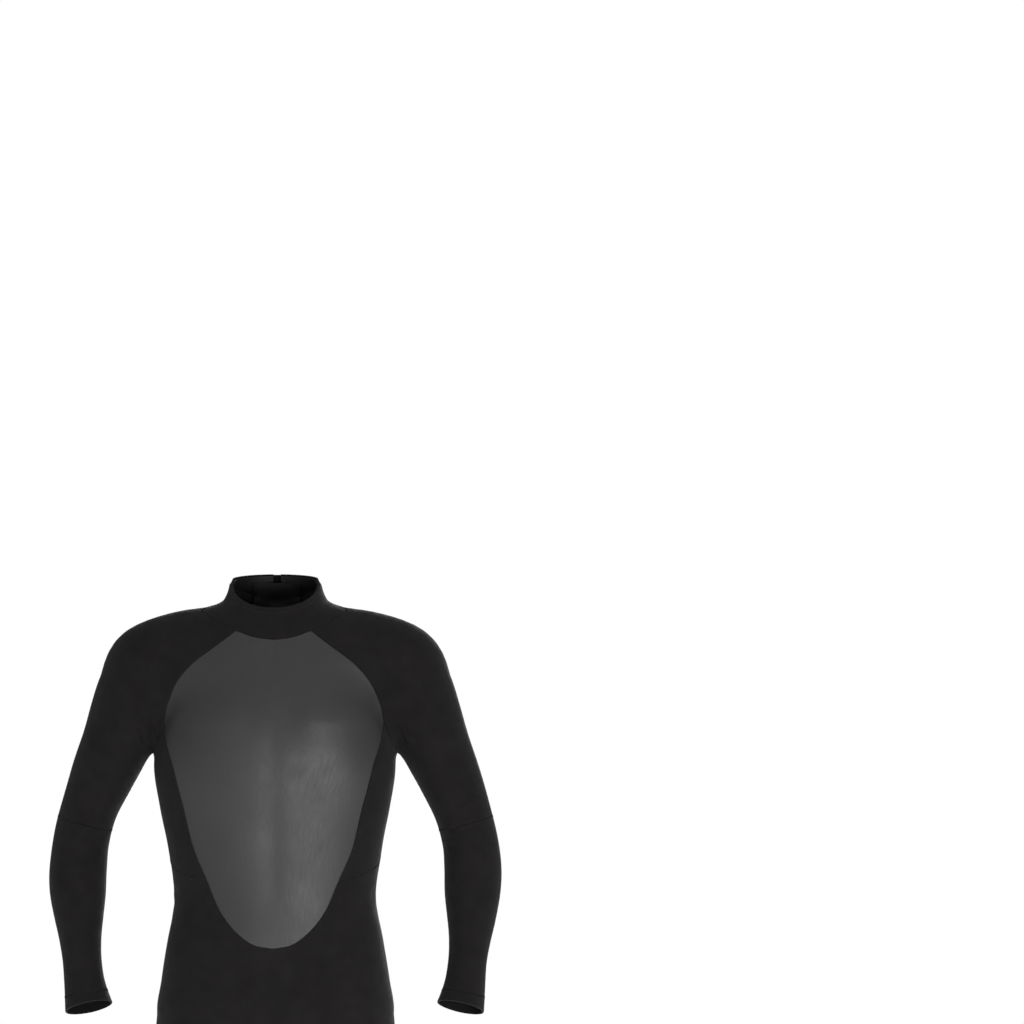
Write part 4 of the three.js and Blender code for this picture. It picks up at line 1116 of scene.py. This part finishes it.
for side, sign in SIDES.items():
    thigh = cloth_piece("thigh", side, thigh_grid, "hip_panel", "thigh_panel")
    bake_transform(thigh)
    knee = cloth_piece("knee", side, knee_grid, "knee_panel")
    cloth_piece("shin", side, shin_grid, "shin_panel", body="shin")
    cloth_piece("ankle", side, ankle_grid, "ankle_hem", body="shin", wraps=True, groove=HEM_GROOVE)
    pad = knee_pad(f"knee_guard_{side}", sign)
    finish(pad, "knee_rubber", f"knee_pad_{side}")
    for piece in (knee, pad):
        start, end = levels(THIGH_END, KNEE_END, sign, KNEE_X)
        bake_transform(piece)

# ---- Collar ----
COLLAR_SLIT = 6
slit_degrees = 180 - math.degrees(math.asin(COLLAR_SLIT / NECK_RADIUS))
half_round = joined(spread(0, FRONT_CORNER, CHEST_COLUMNS // 2),
                    spread(FRONT_CORNER, BACK_CORNER, SLEEVE_COLUMNS),
                    spread(BACK_CORNER, slit_degrees, BACK_COLUMNS))
neck_angles = joined(-half_round[::-1], half_round)


def collar_top(degrees):
    c = np.cos(np.radians(degrees))
    return COLLAR_TOP_SIDE - c * np.where(c > 0, COLLAR_FRONT_DIP, COLLAR_BACK_RISE)


def collar_points(degrees, shares):
    """Surface points at angles round the collar and shares of its height, from the top down."""
    degrees, shares = np.broadcast_arrays(degrees, shares)
    base = COLLAR_BASE(np.minimum(np.abs(degrees), 180))
    return round_neck(degrees, base + (collar_top(degrees) - base) * shares)


def collar_sheet(name, node, slot, low, high, materials, thickness, lift):
    """A layer of the collar between two shares of its height."""
    grid = collar_points(neck_angles[None, :], np.linspace(high, low, 4 * FINE + 1)[:, None])
    piece = panel(name, grid, materials, thickness, lift)
    finish(piece, slot, node, body="root", grid=grid)
    return grid


band_grid = collar_sheet("collar", "collar_band", "jersey", 0, 1, PANEL_CLOTH, PANEL, 0)
collar_sheet("collar_facing", "collar_lining", "collar_skin", 0.06, 0.955, (NECK_SKIN,), LINING,
             -PANEL - LAYER_GAP)

PAD, TAB, CLOSURE_GAP = 1, 2.5, 0.7
LOOP_LIFT = CURVED_GAP + PAD
HOOK_LIFT = LOOP_LIFT + CLOSURE_GAP + PAD
TAB_LIFT = HOOK_LIFT + CLOSURE_GAP + TAB
TAB_ROOT, CLOSURE_STEP, CLOSURE_LOW, CLOSURE_RISE = -170.5, 3.5, 0.47, 0.07
CLOSURE_COLUMNS, CLOSURE_ROWS = 61, 41
STITCH_INSET = 4  # the strap's stitches run this many rows and columns inside its rim


def closure(first, last, low, high, rounding):
    """A closure layer between two columns and rows; its corners are rounded by a share."""
    columns = np.linspace(first, last, CLOSURE_COLUMNS)[None, :]
    rows = np.linspace(1, -1, CLOSURE_ROWS)[:, None]
    end = np.clip(1 - (last - columns) / rounding, 0, 1)
    start = np.clip(1 - (columns - first) / rounding, 0, 1) if first else 0 * end
    half = (high - low) / 2 * (1 - 0.45 * (1 - np.sqrt(1 - np.maximum(end, start) ** 2 * 0.98)))
    level = (low + high) / 2 + rows * half
    return collar_points(TAB_ROOT - columns * CLOSURE_STEP, CLOSURE_LOW + level * CLOSURE_RISE)


for name, node, body_name, spans, cloth, thick, lift in (
    ("collar_strap", "collar_tab", "collar_tab", (0, 14, 0, 7, 3.2), PANEL_CLOTH, TAB, TAB_LIFT),
    ("hook_patch", "collar_hook_pad", "collar_tab", (6, 13, 1, 6, 1.2), (HOOKS,), PAD, HOOK_LIFT),
    ("loop_patch", "collar_loop_pad", "root", (6, 15, 1, 6, 1.2), (HOOKS,), PAD, LOOP_LIFT),
):
    grid = closure(*spans)
    slot = "jersey" if cloth is PANEL_CLOTH else "tape"
    finish(panel(name, grid, cloth, thick, lift, groove=0.5), slot, node, body=body_name,
           grid=grid)
    if name == "collar_strap":
        inset = slice(STITCH_INSET, -STITCH_INSET)
        upper, lower = grid[STITCH_INSET - 1, inset], grid[-STITCH_INSET, inset][::-1]
        end = grid[STITCH_INSET - 1:1 - STITCH_INSET, -STITCH_INSET]
        rim = np.concatenate([upper, end, lower])
        sewn("strap_stitching", [rim], body_name, SOFT_THREAD, 0.22, running, level=TAB_LIFT)

# ---- Zip ----
ZIP_ORIGIN = np.array([0, zip_y(ZIP_TOP_Z), ZIP_TOP_Z])
ZIP_DOWN = np.array([0, math.sin(zip_lean), -math.cos(zip_lean)])
ZIP_OUT = np.array([0, math.cos(zip_lean), math.sin(zip_lean)])
TAPE_BOTTOM = -(PANEL + TAPE) / 2
TAPE_TOP = TAPE_BOTTOM + TAPE
TEETH_BOTTOM = -(PANEL + TOOTH_THICK) / 2
TAPE_EDGE = TOOTH_REACH + LAYER_GAP
CHAIN_TOP = SLIDER_Y + SLIDER_LENGTH / 4
FOOT_MARGIN = 12
TEETH = int((ZIP_LENGTH - FOOT_MARGIN - CHAIN_TOP) // TOOTH_PITCH)


def in_zip(p):
    """Points given across the zip, down it and out of the back, placed on the suit."""
    p = np.asarray(p, float)
    return ZIP_ORIGIN + p[..., :1] * [1, 0, 0] + p[..., 1:2] * ZIP_DOWN + p[..., 2:] * ZIP_OUT


def zip_tape(sign):
    """A woven tape with a thicker cord along its toothed edge and a selvedge on the other."""
    across = np.linspace(TAPE_EDGE, TAPE_HALF_WIDTH, 25)
    down = np.linspace(0, ZIP_LENGTH, 216)
    x, y = np.meshgrid(across, down)
    cord = 0.5 * np.exp(-(((x - TAPE_EDGE - 0.9) / 0.7) ** 2))
    selvedge = 0.25 * np.exp(-(((x - TAPE_HALF_WIDTH + 1.2) / 0.6) ** 2))
    ripple = 0.12 * np.sin(y / 9.0) * smoothstep(x, TAPE_EDGE + 2, TAPE_HALF_WIDTH)
    front = in_zip(np.stack([sign * x, y, TAPE_TOP - 0.3 + cord + selvedge + ripple], -1))
    back = in_zip(np.stack([sign * x, y, TAPE_BOTTOM + 0.1 + ripple], -1))
    distance = np.minimum(x - TAPE_EDGE, TAPE_HALF_WIDTH - x)
    return front, back, distance


def rounded_block(x0, y0, x1, y1, z0, z1, round_off=0.35):
    """A block in the zip's frame with bevelled edges, as points and faces."""
    mesh = bmesh.new()
    bmesh.ops.create_cube(mesh, size=1)
    for vertex in mesh.verts:
        vertex.co.x = x0 if vertex.co.x < 0 else x1
        vertex.co.y = y0 if vertex.co.y < 0 else y1
        vertex.co.z = z0 if vertex.co.z < 0 else z1
    bmesh.ops.bevel(mesh, geom=mesh.edges[:], offset=round_off, segments=2, affect="EDGES",
                    profile=0.5)
    mesh.verts.index_update()
    points = np.array([v.co[:] for v in mesh.verts])
    faces = [[v.index for v in f.verts] for f in mesh.faces]
    mesh.free()
    return points, faces


def gathered(name, blocks, material):
    """One object from several blocks in the zip's frame."""
    points, faces = merged(blocks)
    made = new_object(name, in_zip(points), faces, [material], 40)
    fix = bmesh.new()
    fix.from_mesh(made.data)
    bmesh.ops.recalc_face_normals(fix, faces=fix.faces)
    fix.to_mesh(made.data)
    fix.free()
    return made


TOOTH_HEAD = -1.1  # past the zip's middle line
# A tooth's foot on the tape's cord, its neck and its head: from, to, half width, inset, bevel.
TOOTH_PARTS = (
    (2.0, TAPE_EDGE + 1.9, 0.95, 0, 0.4),
    (TOOTH_HEAD, 2.4, 0.85, 0.5, 0.3),
    (TOOTH_HEAD, 0.5, 1.25, 0.35, 0.45),
)


def tooth(sign, y):
    """One moulded tooth's blocks."""
    blocks = []
    for start, end, half, inset, bevel in TOOTH_PARTS:
        x0, x1 = sorted((sign * start, sign * end))
        blocks.append(rounded_block(x0, y - half, x1, y + half, TEETH_BOTTOM + inset,
                                    TEETH_BOTTOM + TOOTH_THICK - inset, bevel))
    return blocks


for side, sign in SIDES.items():
    front, back, distance = zip_tape(sign)
    tape = cloth_object(f"tape_{side}", front, back, distance, (WEBBING,))
    finish(tape, "tape", f"zip_tape_{side}", body="root", grid=front)
    shift = 0.0 if sign > 0 else TOOTH_PITCH / 2
    places = CHAIN_TOP + 1.6 + shift + np.arange(TEETH) * TOOTH_PITCH
    row = gathered(f"teeth_{side}", [b for y in places for b in tooth(sign, y)], PLASTIC)
    finish(row, "tooth_plastic", f"zip_teeth_{side}", body="root")
    inner, outer = sorted((sign * TAPE_EDGE, sign * (TAPE_EDGE + 3)))
    stop = gathered(f"top_stop_{side}", [
        rounded_block(inner, 1, outer, 5, TAPE_TOP - 0.3, TAPE_TOP + 1.6),
        rounded_block(inner, 1, outer, 5, TAPE_BOTTOM - 1.4, TAPE_BOTTOM + 0.2)], PLASTIC)
    finish(stop, "tooth_plastic", f"zip_top_stop_{side}", body="root")


def softened(name, node, material, width):
    """A piece with a CAD node's shape and rounded edges."""
    made = placed(name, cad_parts[node].data.copy())
    mesh = bmesh.new()
    mesh.from_mesh(made.data)
    bmesh.ops.remove_doubles(mesh, verts=mesh.verts, dist=1e-6)
    bmesh.ops.dissolve_limit(mesh, angle_limit=math.radians(2), verts=mesh.verts, edges=mesh.edges)
    sharp = [e for e in mesh.edges if e.is_manifold and e.calc_face_angle() > math.radians(25)]
    bmesh.ops.bevel(mesh, geom=sharp, offset=width * MM, segments=2, affect="EDGES",
                    profile=0.6, clamp_overlap=True)
    bmesh.ops.recalc_face_normals(mesh, faces=mesh.faces)
    mesh.to_mesh(made.data)
    mesh.free()
    made.data.materials.clear()
    made.data.materials.append(material)
    made.data.shade_smooth()
    made.data.set_sharp_from_angle(angle=math.radians(42))
    return made


for name, node, body_name, slot, material, bevel in (
    ("slider", "zip_slider", "zip_slider", "slider_metal", METAL, 0.3),
    ("bottom_stop", "zip_bottom_stop", "root", "tooth_plastic", PLASTIC, 0.4),
    ("pull_tab", "zip_pull_tab", "zip_pull", "pull_rubber", PULL_RUBBER, 0.45),
):
    finish(softened(name, node, material, bevel), slot, node, body=body_name)
PULL_FACE = 3.61  # the pull tab's outer face, out of the zip
GRIP_HALF, GRIP_WIDTH, GRIP_PITCH, GRIPS = 3.6, 1.5, 3.0, 8
grips = gathered("pull_grips", [
    rounded_block(-GRIP_HALF, y, GRIP_HALF, y + GRIP_WIDTH, PULL_FACE - 0.4, PULL_FACE + 0.45, 0.3)
    for y in SLIDER_Y + 22 + np.arange(GRIPS) * GRIP_PITCH], PULL_RUBBER)
finish(grips, "pull_rubber", body="zip_pull")

FLAP_HALF, FLAP_THICK, FLAP_LIFT = 40, 2.0, -PANEL - CURVED_GAP
FLAP_TOP_Z = 36  # the flap goes on up inside the collar, behind its slit
FLAP_BEHIND_ZIP, FLAP_BEHIND_COLLAR = 3.2, 2.6  # how much further in it lies there
flap_columns = spread(-FLAP_HALF, FLAP_HALF, 8)
flap_rows = spread(FLAP_TOP_Z, ZIP_TOP_Z - ZIP_LENGTH - 6, 7)
flap_side = np.maximum(flap_columns[4 * FINE:], ZIP_EDGE)
flap_grid = np.array([points_over(BACK, *((x, z) for x in flap_side)) for z in flap_rows])
flap_grid = np.concatenate([mirror(flap_grid[:, :0:-1]), flap_grid], axis=1)
flap_grid[..., 0] = flap_columns
deeper = FLAP_BEHIND_ZIP * (1 - smoothstep(np.abs(flap_columns), TAPE_HALF_WIDTH, FLAP_HALF - 6))
clear = FLAP_BEHIND_COLLAR * smoothstep(flap_rows, -16, -2)
flap_grid = flap_grid - normal(flap_grid) * (deeper[None, :] + clear[:, None])[..., None]
flap = panel("zip_flap", flap_grid, (NECK_SKIN,), FLAP_THICK, FLAP_LIFT)
finish(flap, "collar_skin", "zip_backing_flap", body="root", grid=flap_grid)

# ---- Thread ----
for side, sign in SIDES.items():
    for name, lines, body_name, thread in (
        ("raglan", (joined(raglan_front, armhole_front), joined(raglan_back, armhole_back)),
         "root", THREAD),
        ("chest", (joined(chest_edge, chest_tip),), "root", THREAD),
        ("side", (joined(side_seam_front, side_seam_back, lumbar_seam), blade_edge, hip_seam),
         "root", THREAD),
        ("groin", (leg_top,), "root", THREAD),
        ("elbow", (sleeve_grid[-1],), f"upper_arm_{side}", THREAD),
        ("knee_top", (knee_grid[0],), f"thigh_{side}", THREAD),
        ("knee_foot", (knee_grid[-1],), f"shin_{side}", THREAD),
        ("cuff", (cuff_grid[0],), f"forearm_{side}", SOFT_THREAD),
        ("ankle", (ankle_grid[0],), f"shin_{side}", SOFT_THREAD),
    ):
        lines = [on_side(line, sign) for line in lines]
        sewn(f"{name}_stitches_{side}", lines, body_name, thread)
    sewn(f"zip_stitches_{side}", [on_side(back_edge, sign)], "root", kind=running,
         offset=-2.5 * sign)
    tack_ends = points_over(FRONT, (113, -404.6), (125, -403.8))
    tack_line = np.linspace(*(on_side(end, sign) for end in tack_ends), 12)
    tack = sewn(f"tack_{side}", [tack_line], "root", THREAD, 0.3, slot="tape", pitch=0.8,
                half_width=1.3, lift=0.3)
    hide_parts(f"bar_tack_{side}")
sewn("neck_stitches", [band_grid[-1]], "root")
sewn("collar_edge_stitches", [band_grid[6]], "root", SOFT_THREAD, 0.2, running)

# ---- Floor, lights and camera ----
scene = bpy.context.scene
scene.view_settings.view_transform = "Standard"
VIEW_CENTRE = (0.355, 0.141)
LENS, SENSOR, FRAME_WIDTH = 200, 36, 1.536
FLOOR_RADIUS, FLOOR_BELOW = 8.5, 0.05


def studio_floor():
    mesh = bmesh.new()
    bmesh.ops.create_circle(mesh, cap_ends=True, segments=96, radius=FLOOR_RADIUS)
    data = bpy.data.meshes.new("studio_floor")
    mesh.to_mesh(data)
    mesh.free()
    floor = placed("studio_floor", data)
    floor.location = (0, 0, cad_low.z - FLOOR_BELOW)
    paint = Nodes("pale_floor", (0.8, 0.8, 0.8), 0.7, Emission_Strength=0.46)
    tone = paint.spread_out(paint.noise(paint.place, 0.6), 0, 1)
    paint.drive(Base_Color=paint.mix(tone, (0.79, 0.79, 0.79), (0.82, 0.82, 0.82)))
    data.materials.append(paint.material)


def softbox(name, place, aim, size, power):
    data = bpy.data.lights.new(name, "AREA")
    data.shape = "RECTANGLE"
    data.size, data.size_y = size
    data.energy = power
    lamp = placed(name, data)
    lamp.location = place
    way = np.array(aim, float) - np.array(place, float)
    lamp.rotation_euler = Vector(way).to_track_quat("-Z", "Y").to_euler()


def studio_world(seen, light):
    """A plain background that looks white and lights the suit softly."""
    world = bpy.data.worlds.new("studio")
    world.use_nodes = True
    tree = world.node_tree
    path = tree.nodes.new("ShaderNodeLightPath")
    strength = tree.nodes.new("ShaderNodeMapRange")
    strength.inputs["To Min"].default_value = light
    strength.inputs["To Max"].default_value = seen
    background = tree.nodes["Background"]
    background.inputs["Color"].default_value = (1, 1, 1, 1)
    tree.links.new(path.outputs["Is Camera Ray"], strength.inputs["Value"])
    tree.links.new(strength.outputs[0], background.inputs["Strength"])
    scene.world = world


studio_floor()
studio_world(1.0, 0.43)
CHEST = (0, 0, -0.3)
softbox("key", (1.05, -3.4, -0.9), CHEST, (1.8, 1.3), 84)
softbox("fill", (-2.6, -2.8, 0.3), CHEST, (1.4, 2.0), 4)
softbox("top", (0.2, -0.8, 2.6), CHEST, (2.0, 2.0), 16)
softbox("back", (0.4, 3.6, 0.4), CHEST, (2.4, 2.0), 150)

camera_data = bpy.data.cameras.new("camera")
camera_data.lens, camera_data.sensor_width = LENS, SENSOR
camera = placed("camera", camera_data)
camera.location = (VIEW_CENTRE[0], -FRAME_WIDTH * LENS / SENSOR, VIEW_CENTRE[1])
camera.rotation_euler = (math.pi / 2, 0, 0)
scene.camera = camera
